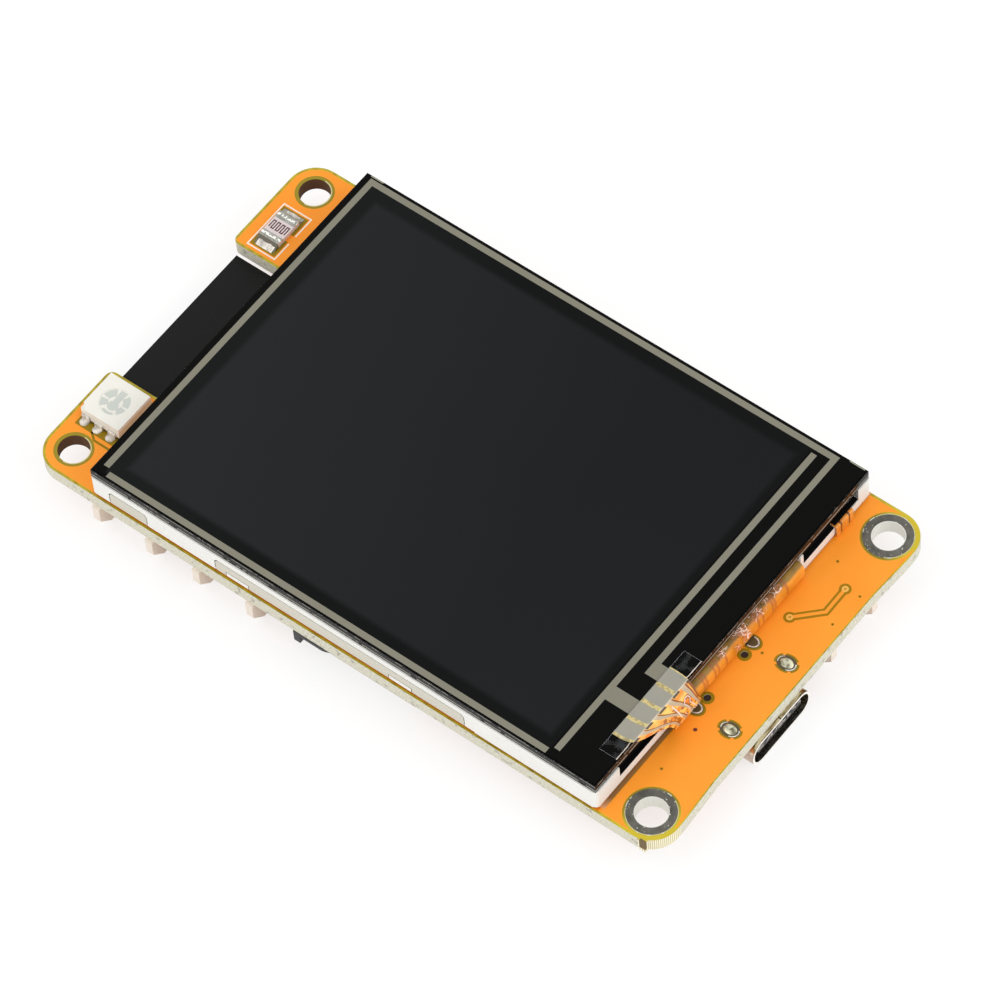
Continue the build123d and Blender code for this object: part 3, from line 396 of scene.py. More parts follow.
def paint_film(wire):
    """Dark view through the film with a painted sheen, black printed border and the band round the view."""
    x, y, _ = wire.place()
    to_side = (x - VIEW_X[0]).at_most(VIEW_X[1] - x).at_most(y - VIEW_Y[0]).at_most(VIEW_Y[1] - y)
    view = to_side.ramp(0.0, 0.6)
    in_window = (abs(x - WINDOW_MID[0]) < WINDOW_HALF[0]) * (abs(y - WINDOW_MID[1]) < WINDOW_HALF[1])
    cloud = wire.noise(14.0, 1.0)
    # Painted sheen: the view grows lighter towards -x and -y
    sheen = (x.ramp(-26.0, 10.0, 0.75, 0.1) + y.ramp(18.0, -18.0, 0.0, 0.25)) + cloud * 0.1
    glass = wire.mix(sheen, rgb(21, 23, 24), rgb(34, 36, 37))
    band = wire.mix(x.ramp(-24.0, -10.0), rgb(20, 22, 22), rgb(12, 13, 13))
    border = wire.mix(in_window, rgb(4, 4, 3), band)
    return {
        "Base Color": wire.mix(view, border, glass),
        "Roughness": wire.noise(4.0).ramp(0.3, 0.7, 0.34, 0.4),
    }


def paint_display_flex(wire):
    """Amber film over copper, painted as shaded dark olive where it lies back and lit bright amber where it
    faces out.
    """
    _, y, z = wire.place()
    waves = wire.noise(2.2, 2.0, (1, 1, 0.6))
    fine = wire.noise(0.5, 3.0)
    # Painted shade: the upper part, which lies back, is dark olive; the lower part is bright amber
    upper = (z + (waves - 0.5) * 0.5).ramp(1.92, 2.12)
    amber = wire.mix(waves.ramp(0.35, 0.65), rgb(214, 134, 34), rgb(240, 156, 56))
    back = wire.mix(waves.ramp(0.35, 0.65), rgb(112, 84, 30), rgb(156, 118, 48))
    tone = wire.mix(upper, amber, back)
    lines = abs(y - FLEX_LINES[0]) < 0.16
    for place in FLEX_LINES[1:]:
        lines = lines.at_least(abs(y - place + (fine - 0.5) * 0.15) < 0.16)
    return {
        "Base Color": wire.mix(lines * 0.5, tone, rgb(160, 84, 54)),
        "Normal": wire.bump(waves + fine * 0.15, 0.12),
    }


def paint_touch_flex(wire):
    """Grey conductors on amber film, by the place across the flex that the mesh carries, with painted shade
    in dark lines and dashes and a painted highlight at the film's edge.
    """
    coords = wire.node("ShaderNodeUVMap", {"uv_map": "across"}, {})
    across = wire.node("ShaderNodeSeparateXYZ", {}, {0: coords}, 0)
    down = wire.node("ShaderNodeSeparateXYZ", {}, {0: coords}, 1)
    lane = (across * 4.0 - 0.04).fraction()
    off_line = abs(lane - 0.5)
    on_film = down < FILM_EDGE_DOWN
    conductor = off_line < on_film.ramp(0.0, 1.0, 0.13, 0.4)
    waves = wire.noise(0.9, 3.0, (1, 0.4, 1))
    amber = wire.mix(waves.ramp(0.38, 0.62), rgb(232, 126, 30), rgb(255, 206, 104))
    dots = wire.noise(0.3, 1.0)
    cream = wire.mix(dots.ramp(0.4, 0.6), rgb(160, 146, 98), rgb(206, 188, 126))
    gap = wire.mix(on_film, amber, cream)
    metal = wire.mix(on_film, rgb(188, 168, 140), rgb(150, 147, 134))
    shade = (abs(lane - 0.69) < 0.05).at_least(across > 0.965) * (1 - on_film)
    # Painted shade: dark dashes in the gaps between the conductors just past the film's edge
    fold_gap_shade = (abs(down - FILM_EDGE_DOWN - 0.02) < 0.018) * (off_line > 0.27)
    blotch = (wire.noise(0.7, 3.0) > 0.56) * (down > 0.36)
    gap = wire.mix(blotch, gap, rgb(176, 100, 34))
    tone = wire.mix(conductor, wire.mix(shade, gap, rgb(138, 78, 22)), metal)
    # Painted highlight: a pale line along the flex's bend over the film's edge
    tone = wire.mix(abs(down - FILM_EDGE_DOWN) < 0.006, tone, rgb(206, 194, 172))
    return {
        "Base Color": wire.mix(fold_gap_shade, tone, rgb(66, 48, 14)),
        "Normal": wire.bump(waves, 0.08),
    }


def paint_cover_tape(wire):
    """Clear tape: a faint veil, cut edges that catch light, and a painted highlight where it folds over the
    film's edge.
    """
    x, y, _ = wire.place()
    cloud = wire.noise(1.3, 1.0)
    to_side = (x - TAPE_START_X).at_most(abs(abs(y - TAPE_MID_Y) - TAPE_REACH))
    rim = to_side < 0.045
    # Painted highlight along the fold over the film's edge
    fold = (x > FOLD_X) * cloud.ramp(0.3, 0.7, 0.25, 0.9)
    veil = cloud.ramp(0.5, 0.75, 0.0, 0.1)
    return {
        "Base Color": wire.mix(fold > 0.1, rgb(176, 178, 182), rgb(250, 236, 222)),
        "Alpha": veil.at_least(rim * wire.noise(0.4).ramp(0.35, 0.6, 0.08, 0.42)).at_least(fold),
    }


def paint_creases(wire):
    """Clear crumpled film: flat facets with painted shade that differs from facet to facet, and sharp painted
    highlights along the creases between them.
    """
    coords = wire.node("ShaderNodeTexCoord", {}, {}, "Object")
    sway = wire.node("ShaderNodeTexNoise", {}, {"Vector": coords, "Scale": 900.0}, "Color")
    bent = wire.node("ShaderNodeVectorMath", {"operation": "SCALE"}, {0: sway, 3: 0.0006})
    place = wire.node("ShaderNodeVectorMath", {"operation": "ADD"}, {0: coords, 1: bent})
    facets = {"Vector": place, "Scale": 1 / (0.75 * MM)}
    to_crease = wire.node("ShaderNodeTexVoronoi", {"feature": "DISTANCE_TO_EDGE"}, facets)
    shade = wire.node("ShaderNodeTexVoronoi", {}, facets, "Color")
    facet = wire.node("ShaderNodeSeparateXYZ", {}, {0: shade}, 0)
    # Painted highlights along the creases, and painted shade by facet in the veil
    bright = (to_crease < 0.055) * (facet > 0.36)
    patchy = wire.noise(1.6, 2.0).ramp(0.38, 0.5)
    veil = (bright * 0.85).at_least(facet.ramp(0.0, 1.0, 0.05, 0.55))
    return {
        "Alpha": veil * patchy,
        "Base Color": wire.mix(bright, rgb(206, 134, 96), rgb(248, 218, 200)),
    }


def paint_sensor_ends(wire):
    """Dull tin caps with a row of painted glints along each, and painted shade on the end face."""
    _, y, _ = wire.place()
    cloud = wire.noise(0.5, 3.0)
    tone = wire.mix(cloud.ramp(0.35, 0.65), rgb(142, 142, 132), rgb(176, 176, 166))
    # Painted glints in a row along each cap
    row = (abs(y - SENSOR_GLINT_ROWS[0]) < 0.14).at_least(abs(y - SENSOR_GLINT_ROWS[1]) < 0.14)
    tone = wire.mix(row * (wire.noise(0.3, 1.0) > 0.47), tone, rgb(255, 255, 250))
    return {
        # Painted shade: the near end face is darker
        "Base Color": wire.mix(y < SENSOR_NEAR_Y, tone, rgb(104, 100, 86)),
        "Normal": wire.bump(cloud, 0.03),
    }


def paint_tail(wire):
    """Amber film with two dark conductors that run down the tail."""
    _, y, _ = wire.place()
    cloud = wire.noise(0.8, 2.0)
    tone = wire.mix(cloud.ramp(0.35, 0.65), rgb(222, 136, 44), rgb(240, 158, 70))
    line = (abs(y - TAIL_LINES[0]) < 0.11).at_least(abs(y - TAIL_LINES[1]) < 0.11)
    return {"Base Color": wire.mix(line, tone, rgb(112, 66, 34)), "Normal": wire.bump(cloud, 0.05)}


def paint_shell(wire):
    """Drawn nickel shell: painted reflections of the board in cream and bronze bands on its upper side and
    pinkish on its round sides, calm tone beneath.
    """
    _, y, z = wire.place()
    # Painted reflection: bronze and cream bands from the orange board
    band = wire.noise(1.5, 2.0, (3, 0.6, 1))
    fine = wire.noise(0.2, 3.0, (1, 0.2, 1))
    tone = wire.mix(band.ramp(0.38, 0.6), rgb(118, 92, 44), rgb(226, 216, 186))
    # Painted reflection: a pinkish tone on the round sides
    tone = wire.mix((abs(y - USB_Y) > 4.3) * 0.8, tone, rgb(196, 176, 162))
    beneath = (wire.facing_up() > 0.9) * (z < BOARD_BACK - 1.5)
    calm = wire.mix(fine, rgb(196, 190, 176), rgb(212, 207, 194))
    return {
        "Base Color": wire.mix(beneath, tone, calm),
        "Roughness": fine.ramp(0.3, 0.7, 0.15, 0.3),
    }


def paint_tongue(wire):
    """Black plastic tongue whose upper edge glints where the contacts are."""
    _, _, z = wire.place()
    specks = wire.noise(0.35, 3.0).ramp(0.46, 0.62) * (z > BOARD_BACK - 1.7)
    return {"Base Color": wire.mix(specks, rgb(48, 46, 46), rgb(176, 168, 160))}


def paint_lamp(wire):
    """White lamp housing with painted shade on its side towards the panel and in the gap under it, where it
    stands on its leads.
    """
    x, _, z = wire.place()
    cloud = wire.noise(1.2)
    tone = wire.mix(cloud, rgb(232, 230, 220), rgb(238, 236, 227))
    # Painted shade: the side that faces the panel is a darker cream
    shade_beside_panel = (x > lamp_high.x - 0.06) * (1 - wire.facing_up())
    tone = wire.mix(shade_beside_panel, tone, wire.mix(cloud, rgb(196, 188, 158), rgb(224, 216, 190)))
    # Painted shade in the gap under the housing
    return {"Base Color": wire.mix(z < LAMP_SHADE_TOP, tone, rgb(70, 56, 22))}


def paint_frame(wire):
    """White plastic, with painted shade down the narrow gaps round the tray's flanges."""
    x, y, z = wire.place()
    cloud = wire.noise(1.8)
    fine = wire.noise(0.15)
    inset = panel_high.y - abs(y)
    off_corner = abs(x - PANEL_MID_X) < PANEL_HALF - 0.6
    # Painted shade down the slits beside the flanges
    gap_shade = (abs(inset - FLANGE_GAP_INSET) < FLANGE_GAP_HALF) * (z < FLANGE_GAP_TOP) * off_corner
    tone = wire.mix(cloud, rgb(227, 226, 221), rgb(234, 233, 228))
    return {
        "Base Color": wire.mix(gap_shade, tone, rgb(60, 54, 42)),
        "Roughness": fine.ramp(0.3, 0.7, 0.38, 0.52),
        "Normal": wire.bump(fine, 0.01),
    }


def paint_floor(wire):
    """White sweep: it looks near white itself and still carries a soft shadow."""
    seen = wire.looked_at()
    return {
        "Base Color": wire.mix(seen, (0.98, 0.98, 0.98, 1), (0.3, 0.3, 0.3, 1)),
        "Emission Color": wire.mix(seen, (0, 0, 0, 1), (0.7, 0.7, 0.7, 1)),
    }


def paint_ring(wire):
    """Solder-levelled copper: dull on the face, with painted highlights down the barrel, along the outward
    side of the rim and in small spots.
    """
    x, y, _ = wire.place()
    from_hole = (abs(x) - HOLE_X).length(abs(y) - HOLE_Y)
    cloud = wire.noise(1.2, 3.0)
    face = wire.mix(cloud.ramp(0.35, 0.7), rgb(84, 82, 76), rgb(112, 110, 102))
    at_rim = from_hole > 2.42
    outward = x + abs(y) > HOLE_X + HOLE_Y - 1.2
    # Painted highlights in small spots and along the rim
    glint_spots = (wire.noise(0.22, 2.0) > 0.7).at_least(at_rim * (wire.noise(1.4) > 0.56))
    bright = glint_spots.at_least(from_hole < HOLE_R + 0.06)
    # Painted highlight on the outward side of the rim
    face = wire.mix(at_rim * outward, face, rgb(206, 198, 150))
    return {
        "Base Color": wire.mix(bright, face, rgb(226, 226, 218)),
        "Roughness": cloud.ramp(0.3, 0.7, 0.25, 0.5),
        "Normal": wire.bump(cloud, 0.03),
    }


def paint_glass_edge(wire):
    """Dark glass whose ground edge carries pale chips and specks."""
    _, _, z = wire.place()
    specks = wire.noise(0.16, 2.0) > 0.68
    streak = wire.noise(0.5, 3.0, (1, 1, 4))
    dark = wire.mix(streak, rgb(6, 6, 6), rgb(30, 30, 30))
    chips = wire.noise(0.9, 4.0)
    lower = (abs(z - glass_low.z - 0.16) < 0.1) * (chips > 0.4)
    upper = (abs(z - glass_high.z + 0.1) < 0.05) * (chips < 0.5)
    tone = wire.mix(specks, dark, rgb(112, 110, 104))
    return {"Base Color": wire.mix(lower.at_least(upper), tone, rgb(138, 136, 128))}


def tinned(base, dark, rough):
    """Paint for soft metal that was wetted by solder: blotches of grey and bright tin."""

    def paint(wire):
        cloud = wire.noise(0.5, 4.0)
        fine = wire.noise(0.12)
        return {
            "Base Color": wire.mix(cloud.ramp(0.35, 0.65), dark, base),
            "Roughness": fine.ramp(0.3, 0.7, rough * 0.6, rough * 1.4),
            "Normal": wire.bump(cloud + fine * 0.3, 0.06),
        }

    return paint


def brushed(base, rough, along):
    """Paint for rolled sheet: fine streaks that run along one direction."""

    def paint(wire):
        streak = wire.noise(0.07, 2.0, along)
        dark = tuple(channel * 0.9 for channel in base[:3]) + (1.0,)
        return {
            "Base Color": wire.mix(streak, dark, base),
            "Roughness": streak.ramp(0.3, 0.7, rough * 0.75, rough * 1.3),
            "Normal": wire.bump(streak, 0.004),
        }

    return paint


AMBER = rgb(226, 140, 56)
TIN = rgb(205, 205, 200)
GREY_TIN = rgb(160, 160, 155)
TRAY = rgb(214, 210, 196)
CAN = rgb(200, 200, 196)

# Looks of the solids, by their material slots
material("solder_mask", ORANGE, 0.42, paint_board, Specular_IOR_Level=0.3)
material("tinned_copper", TIN, 0.3, tinned(TIN, GREY_TIN, 0.3), Metallic=1.0)
plain("foam_tape", rgb(30, 30, 30), 0.9, 0.4, 0.1, 0.04)
material("tray_steel", TRAY, 0.4, brushed(TRAY, 0.4, (0.1, 1, 1)), Metallic=0.55)
plain("white_plastic", rgb(234, 233, 228), 0.45, 0.03)
plain("clear_acrylic", rgb(235, 240, 240), 0.1, 0.03)
plain("diffuser_film", rgb(232, 232, 228), 0.6, 0.03)
material("led_white", rgb(238, 236, 227), 0.4, paint_lamp)
plain("amber_flex", AMBER, 0.3, 0.2, 0.4, 0.02)
plain("cell_glass", rgb(70, 76, 76), 0.12, 0.1)
material("dark_film", rgb(26, 28, 30), 0.36, paint_film, Specular_IOR_Level=0.06)
plain("bare_silicon", rgb(90, 92, 100), 0.15, 0.1, Metallic=0.6)
plain("black_film", rgb(10, 10, 10), 0.5, 0.2, Specular_IOR_Level=0.1)
material("panel_glass", rgb(20, 24, 24), 0.25, paint_glass_edge, Specular_IOR_Level=0.08)
plain("silver_ink", rgb(128, 125, 109), 0.6, 0.16, 0.3, 0.004)
plain("sensor_ceramic", rgb(224, 212, 212), 0.5, 0.08)
plain("black_mask", rgb(18, 18, 18), 0.5, 0.12, 0.3, 0.006, Specular_IOR_Level=0.15)
plain("gold_pads", rgb(226, 184, 98), 0.3, 0.1, Metallic=1.0)
material("nickel_can", CAN, 0.35, brushed(CAN, 0.35, (0.1, 1, 1)), Metallic=1.0)
plain("black_epoxy", rgb(34, 34, 36), 0.6, 0.15, 0.08, 0.012)
material("nickel_shell", rgb(172, 166, 156), 0.2, paint_shell, Metallic=1.0)
plain("black_plastic", rgb(32, 32, 33), 0.5, 0.15, 0.08, 0.012)
plain("beige_plastic", rgb(232, 220, 206), 0.5, 0.05, 0.1, 0.01)
plain("capacitor_ceramic", rgb(168, 128, 92), 0.5, 0.1)

# Looks of single nodes and of the added pieces
material("display_flex_look", AMBER, 0.3, paint_display_flex, Specular_IOR_Level=0.25)
material("touch_flex_look", AMBER, 0.22, paint_touch_flex)
material("tape_look", rgb(226, 232, 244), 0.15, paint_cover_tape, Specular_IOR_Level=0.2)
material("crease_look", rgb(255, 236, 226), 0.2, paint_creases)
material("ends_look", rgb(160, 160, 150), 0.35, paint_sensor_ends, Metallic=0.3)
material("tail_look", AMBER, 0.3, paint_tail)
material("tongue_look", rgb(44, 42, 42), 0.5, paint_tongue, Specular_IOR_Level=0.3)
material("frame_look", rgb(234, 233, 228), 0.45, paint_frame)
plain("rim_highlight_look", rgb(246, 242, 234), 0.3, 0.08, 0.3, 0.004, Metallic=0.2)
material("post_look", TIN, 0.3, tinned(rgb(232, 230, 200), rgb(96, 92, 64), 0.3), Metallic=0.3)
material("solder_look", TIN, 0.3, tinned(rgb(246, 240, 230), rgb(176, 170, 162), 0.3), Metallic=0.2)
plain("crease_highlight_look", rgb(255, 232, 218), 0.3, 0.2, 0.3, 0.02)
plain("post_hole_shade_look", rgb(84, 72, 40), 0.5, 0.3)
plain("track_look", rgb(160, 120, 0), 0.5, 0.12, 0.3, 0.004, Specular_IOR_Level=0.2)
plain("pad_look", rgb(246, 182, 84), 0.45, 0.08, 0.3, 0.004, Specular_IOR_Level=0.3)
plain("olive_look", rgb(150, 122, 10), 0.5, 0.15, 0.3, 0.004, Specular_IOR_Level=0.2)
plain("silk_look", rgb(250, 238, 222), 0.6, 0.05)
plain("hole_shade_look", rgb(34, 18, 10), 0.7, 0.3)
material("ring_look", rgb(108, 108, 100), 0.35, paint_ring, Metallic=0.6)
plain("glint_look", rgb(170, 172, 148), 0.4, 0.3, 0.3, 0.01)
plain("die_look", rgb(202, 207, 200), 0.3, 0.06)
plain("meander_look", rgb(84, 24, 20), 0.5, 0.2)
plain("red_look", rgb(104, 26, 16), 0.5, 0.2)

OWN_LOOKS = {
    "polariser": "cell_glass",
    "display_flex": "display_flex_look",
    "cover_tape": "tape_look",
    "hole_rings": "ring_look",
    "light_sensor_ends": "ends_look",
    "rgb_led_leads": "solder_look",
    "usb_tongue": "tongue_look",
    "backlight_flex": "tail_look",
    "backlight_frame": "frame_look",
}
for entry in frame["record"]["subparts"]:
    node = nodes[entry["node"]]
    look = OWN_LOOKS.get(entry["node"], entry["material_slot"])
    node.data.materials.clear()
    node.data.materials.append(looks[look])


# Fine pieces that the solids lack


def on_oval(centre, reach, turn):
    """Point (x, y) on an oval, at an angle in radians."""
    return centre[0] + reach[0] * math.cos(turn), centre[1] + reach[1] * math.sin(turn)


class Shape:
    """Points in millimetres and the faces on them, gathered for one piece."""

    def __init__(self):
        self.points = []
        self.faces = []

    def add(self, points, faces):
        """Add points, and faces that count from the first of them."""
        start = len(self.points)
        self.points += [tuple(point) for point in points]
        self.faces += [[start + index for index in face] for face in faces]

    def polygon(self, outline, z):
        """A level face inside an outline of (x, y) points."""
        self.add([(x, y, z) for x, y in outline], [range(len(outline))])

    def ring(self, centre, inner, outer, z, start=0.0, end=360.0, steps=40):
        """A level band between two (x, y) radii, whole or from one angle to another."""
        rows = []
        for index in range(steps + 1):
            angle = math.radians(start + (end - start) * index / steps)
            rows.append([(*on_oval(centre, reach, angle), z) for reach in (inner, outer)])
        self.grid(rows)

    def disc(self, centre, reach, z, steps=32):
        """A level disc or oval."""
        turns = [2 * math.pi * index / steps for index in range(steps)]
        self.polygon([on_oval(centre, reach, turn) for turn in turns], z)

    def stroke(self, path, width, z):
        """A level band of one width along an open path of (x, y) points, with square corners."""
        rows = []
        for index, (x, y) in enumerate(path):
            before = Vector(path[max(index - 1, 0)])
            after = Vector(path[min(index + 1, len(path) - 1)])
            into = (Vector((x, y)) - before).normalized() if index else None
            out = (after - Vector((x, y))).normalized() if index < len(path) - 1 else None
            heading = ((into or out) + (out or into)).normalized()
            reach = width / 2 / max(0.3, heading.dot(into or out))
            side_x, side_y = -heading.y * reach, heading.x * reach
            rows.append([(x + side_x, y + side_y, z), (x - side_x, y - side_y, z)])
        self.grid(rows)

    def grid(self, rows):
        """A sheet through rows of points, all rows equally long."""
        wide = len(rows[0])
        faces = []
        for row in range(len(rows) - 1):
            for column in range(wide - 1):
                first = row * wide + column
                faces.append((first, first + 1, first + 1 + wide, first + wide))
        self.add([point for row in rows for point in row], faces)

    def prism(self, outline, low_z, high_z):
        """Walls round an outline of (x, y) points, closed at both ends."""
        count = len(outline)
        points = [(x, y, z) for z in (low_z, high_z) for x, y in outline]
        pairs = [(index, (index + 1) % count) for index in range(count)]
        self.add(points, [(here, after, count + after, count + here) for here, after in pairs])
        self.polygon(outline, high_z)
        self.polygon(outline[::-1], low_z)

    def dome(self, centre, reach, base, height, steps=28, levels=6):
        """A rounded mound on an oval, standing at base."""
        turns = [2 * math.pi * index / steps for index in range(steps + 1)]
        rows = []
        for level in range(levels + 1):
            lift = math.radians(90 * level / levels)
            level_reach = [part * math.cos(lift) for part in reach]
            z = base + height * math.sin(lift)
            rows.append([(*on_oval(centre, level_reach, turn), z) for turn in turns])
        self.grid(rows)

    def piece(self, name, look, smooth=False):
        """Make the scene object, riding on the board."""
        mesh = bpy.data.meshes.new(name)
        mesh.from_pydata([Vector(point) * MM for point in self.points], [], self.faces)
        mesh.materials.append(looks[look])
        if smooth:
            mesh.shade_smooth()
        else:
            mesh.shade_flat()
        mesh.validate()
        made = bpy.data.objects.new(name, mesh)
        scene.collection.objects.link(made)
        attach(made, "board")
        return made


# Printed marks and vias on the board's display side
TRACK = [(34.66, 11.38), (34.68, 8.28), (32.28, 5.85)]
SMALL_VIAS = [(32.27, 13.46), (36.25, 11.51), (35.99, 7.55), (32.45, -14.26), (32.52, 1.22)]
LAMP_PATCH = [(-36.4, -16.1), (-31.2, -16.1), (-31.2, -15.0), (-36.4, -15.0)]
LAMP_TRACK = [(-34.4, -15.95), (-33.57, -16.61), (-30.6, -16.6)]
SENSOR_PATCHES = ((10.15, 12.3), (13.15, 15.48))
SENSOR_FRAME = [(-32.7, 13.2), (-32.7, 15.7), (-36.08, 15.7), (-36.08, 9.94), (-32.7, 9.94), (-32.7, 12.2)]
TEST_POINT = (32.45, -9.09)
print_z = BOARD_TOP + PRINT

track = Shape()
track.stroke(TRACK, 0.82, print_z)
for via in SMALL_VIAS:
    track.disc(via, (0.15, 0.15), print_z)
mask = Shape()
mask.stroke(TRACK, 0.34, print_z + 2 * STEP)
pads = Shape()
for end in (TRACK[0], TRACK[-1]):
    track.disc(end, (0.6, 0.6), print_z + STEP)
    pads.disc(end, (0.34, 0.34), print_z + 3 * STEP)
    track.ring(end, (0.06, 0.06), (0.12, 0.12), print_z + 4 * STEP)
track.piece("track_outline", "track_look")
mask.piece("track_mask", "solder_mask")
pads.piece("track_pads", "pad_look")

bare = Shape()
for post, rear, peg in zip(FRONT_POSTS, REAR_POSTS, PEGS):
    for spoke in (10, 100, 190, 280):
        bare.ring(post, (1.04, 0.8), (1.27, 1.0), print_z, spoke + 38, spoke + 112, 12)
    bare.disc(rear, (1.15, 0.85), print_z)
    bare.ring(peg, (0.37, 0.37), (0.69, 0.69), print_z)
bare.polygon(LAMP_PATCH, print_z)
bare.stroke(LAMP_TRACK, 0.24, print_z)
for near_y, far_y in SENSOR_PATCHES:
    bare.polygon([(-35.95, near_y), (-32.9, near_y), (-32.9, far_y), (-35.95, far_y)], print_z)
bare.piece("bare_laminate", "olive_look")

# Dark discs in the vias and the peg holes: painted shade down the holes, and at the pegs also their black
# plastic
centres = Shape()
deep = Shape()
for via in SMALL_VIAS:
    centres.disc(via, (0.045, 0.045), print_z + STEP)
for post, rear, peg in zip(FRONT_POSTS, REAR_POSTS, PEGS):
    # Painted shade: dark discs in the post holes, round and under the solder
    deep.disc(post, (1.05, 0.81), print_z)
    deep.disc(rear, (0.9, 0.66), print_z + STEP)
    centres.disc(peg, (0.37, 0.37), BOARD_TOP - 0.06)
centres.piece("via_centres", "hole_shade_look")

silk = Shape()
silk.stroke(SENSOR_FRAME, 0.15, print_z)
silk.piece("printed_outline", "silk_look")

red_via = Shape()
red_via.disc(TEST_POINT, (0.2, 0.2), print_z)
red_via.piece("test_point", "red_look")

# Bare strips of glass that catch light at the panel's far corners
glints = Shape()
glint_y = film_high.y - 0.05
for from_x, to_x in ((28.3, film_high.x - 0.1), (film_low.x + 0.5, film_low.x + 2.0)):
    glints.stroke([(from_x, glint_y), (to_x, glint_y)], 0.1, FILM_TOP + PRINT)
glints.piece("edge_glints", "glint_look")

# Silver conductors printed round the film, down to the four pads under the touch flex
far_end_x = traces_low.x + INK_WID / 2
outer_x = far_end_x + OUTER_SPAN
inner_x = far_end_x + INNER_SPAN
far_y = traces_high.y - INK_WID / 2
near_y = film_low.y + 0.02 + INK_WID / 2
end_y = near_y + 0.6
pad_rows = [TAPE_MID_Y + PAD_PITCH * rank for rank in (1.5, 0.5, -0.5, -1.5)]
ink_z = FILM_TOP + PRINT
ink = Shape()
first_trace = [(far_end_x, end_y), (far_end_x, far_y), (outer_x, far_y), (outer_x, pad_rows[0] - PAD_WID / 2)]
ink.stroke(first_trace, INK_WID, ink_z)
ink.stroke([(inner_x, far_y - 0.73), (inner_x, end_y)], INK_WID, ink_z)
ink.stroke([(far_end_x + INK_WID, near_y), (inner_x - INK_WID, near_y)], INK_WID, ink_z)
starts = (outer_x + INK_WID / 2, PAD_START_X, inner_x + INK_WID / 2, PAD_START_X)
for start_x, row_y in zip(starts, pad_rows):
    ink.stroke([(start_x, row_y), (traces_high.x, row_y)], PAD_WID, ink_z)
ink_piece = ink.piece("printed_silver", "silver_ink")
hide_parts("silver_traces")

# Solder on the posts of the receptacle, the lamp's leads and the sensor's ends
LEADS_MID_X = -34.1
LEAD_PITCH = 1.6
random.seed(7)
tin = Shape()
filled = Shape()
for post, rear in zip(FRONT_POSTS, REAR_POSTS):
    filled.dome(post, (0.74, 0.52), print_z + STEP, 0.16)
    tin.ring(post, (0.88, 0.66), (1.0, 0.76), print_z + 2 * STEP, -70, 30)
    tin.ring(post, (0.88, 0.66), (0.98, 0.74), print_z + 2 * STEP, 130, 205)
    # Painted shade: a dark disc at the rear post
    deep.disc(rear, (0.66, 0.46), shell_high.z + 0.02)
    tin.ring(rear, (0.68, 0.48), (0.84, 0.62), shell_high.z + 0.03, -95, 95)
for rank in (-1, 0, 1):
    tin.dome((LEADS_MID_X + rank * LEAD_PITCH, -15.55), (0.48, 0.42), BOARD_TOP, 0.22)
fillet = [(11.26, 0.4), (11.0, 0.3), (10.75, 0.2), (10.45, 0.12), (10.3, 0.0)]
tin.grid([
    [(-35.38 + 0.28 * column, y, z + random.uniform(-0.04, 0.04) * (z > 0)) for column in range(8)]
    for y, z in fillet
])
tin.dome((-34.44, 15.0), (1.0, 0.35), BOARD_TOP, 0.2)
tin.piece("solder_joints", "solder_look", smooth=True)
filled.piece("post_solder", "post_look", smooth=True)
deep.piece("post_holes", "post_hole_shade_look")

# Vias, tracks and printed corner marks on the board's back
CHIPS = ["usb_serial", "touch_controller", "audio_amplifier", "battery_charger", "regulator"]
SOCKETS = ["wire_socket_a", "wire_socket_b", "wire_socket_c", "battery_socket", "speaker_socket"]
MARKED = [name + "_chip" for name in CHIPS] + SOCKETS + ["reset_button_base", "boot_button_base"]
BACK_PARTS = [box_mm(name) for name in MARKED + ["module_board", "card_slot_shell", "usb_shell"]]
BACK_PRINT = BOARD_BACK - PRINT
MARK_REACH = 0.9
CLEAR_OF_HOLE = 2.7
VIA_COUNT = 60
VIA_SPACING = 1.6
VIA_MARGIN = 1.0
SHORTEST_LEG = 0.8
LONGEST_TRACK = 13.0
TRACK_SPACING = 0.9
TEST_SPACING = 0.3


def on_board(x, y, margin):
    """Whether a point lies on the board's back, clear of its edges, notch and holes."""
    if abs(x) > END_X - margin or abs(y) > SIDE_Y - margin:
        return False
    if x < NOTCH_END_X + margin and abs(y) < NOTCH_SIDE_Y + margin:
        return False
    return math.hypot(abs(x) - HOLE_X, abs(y) - HOLE_Y) > CLEAR_OF_HOLE + margin


def covered(x, y, margin):
    """Whether a point lies under one of the parts on the back."""
    for low, high in BACK_PARTS:
        if low.x - margin < x < high.x + margin and low.y - margin < y < high.y + margin:
            return True
    return False


def between(path):
    """Points along an open path, about as far apart as the tests of clearance need."""
    points = []
    for (x0, y0), (x1, y1) in zip(path, path[1:]):
        count = max(1, round(math.hypot(x1 - x0, y1 - y0) / TEST_SPACING))
        steps = [part / count for part in range(count + 1)]
        points += [(x0 + (x1 - x0) * step, y0 + (y1 - y0) * step) for step in steps]
    return points


def free_run(start, end, vias, taken):
    """The points of a track between two vias that meets nothing on its way, and its path."""
    run_x, run_y = end[0] - start[0], end[1] - start[1]
    diagonal = min(abs(run_x), abs(run_y))
    straight = max(abs(run_x), abs(run_y)) - diagonal
    if min(diagonal, straight) < SHORTEST_LEG or diagonal + straight > LONGEST_TRACK:
        return None
    bend = (start[0] + math.copysign(diagonal, run_x), start[1] + math.copysign(diagonal, run_y))
    path = [start, bend, end]
    points = between(path)
    if not all(on_board(*point, 0.8) and not covered(*point, 0.3) for point in points):
        return None
    others = taken + [via for via in vias if via not in path]
    if any(math.dist(point, other) <= TRACK_SPACING for point in points for other in others):
        return None
    return points, path


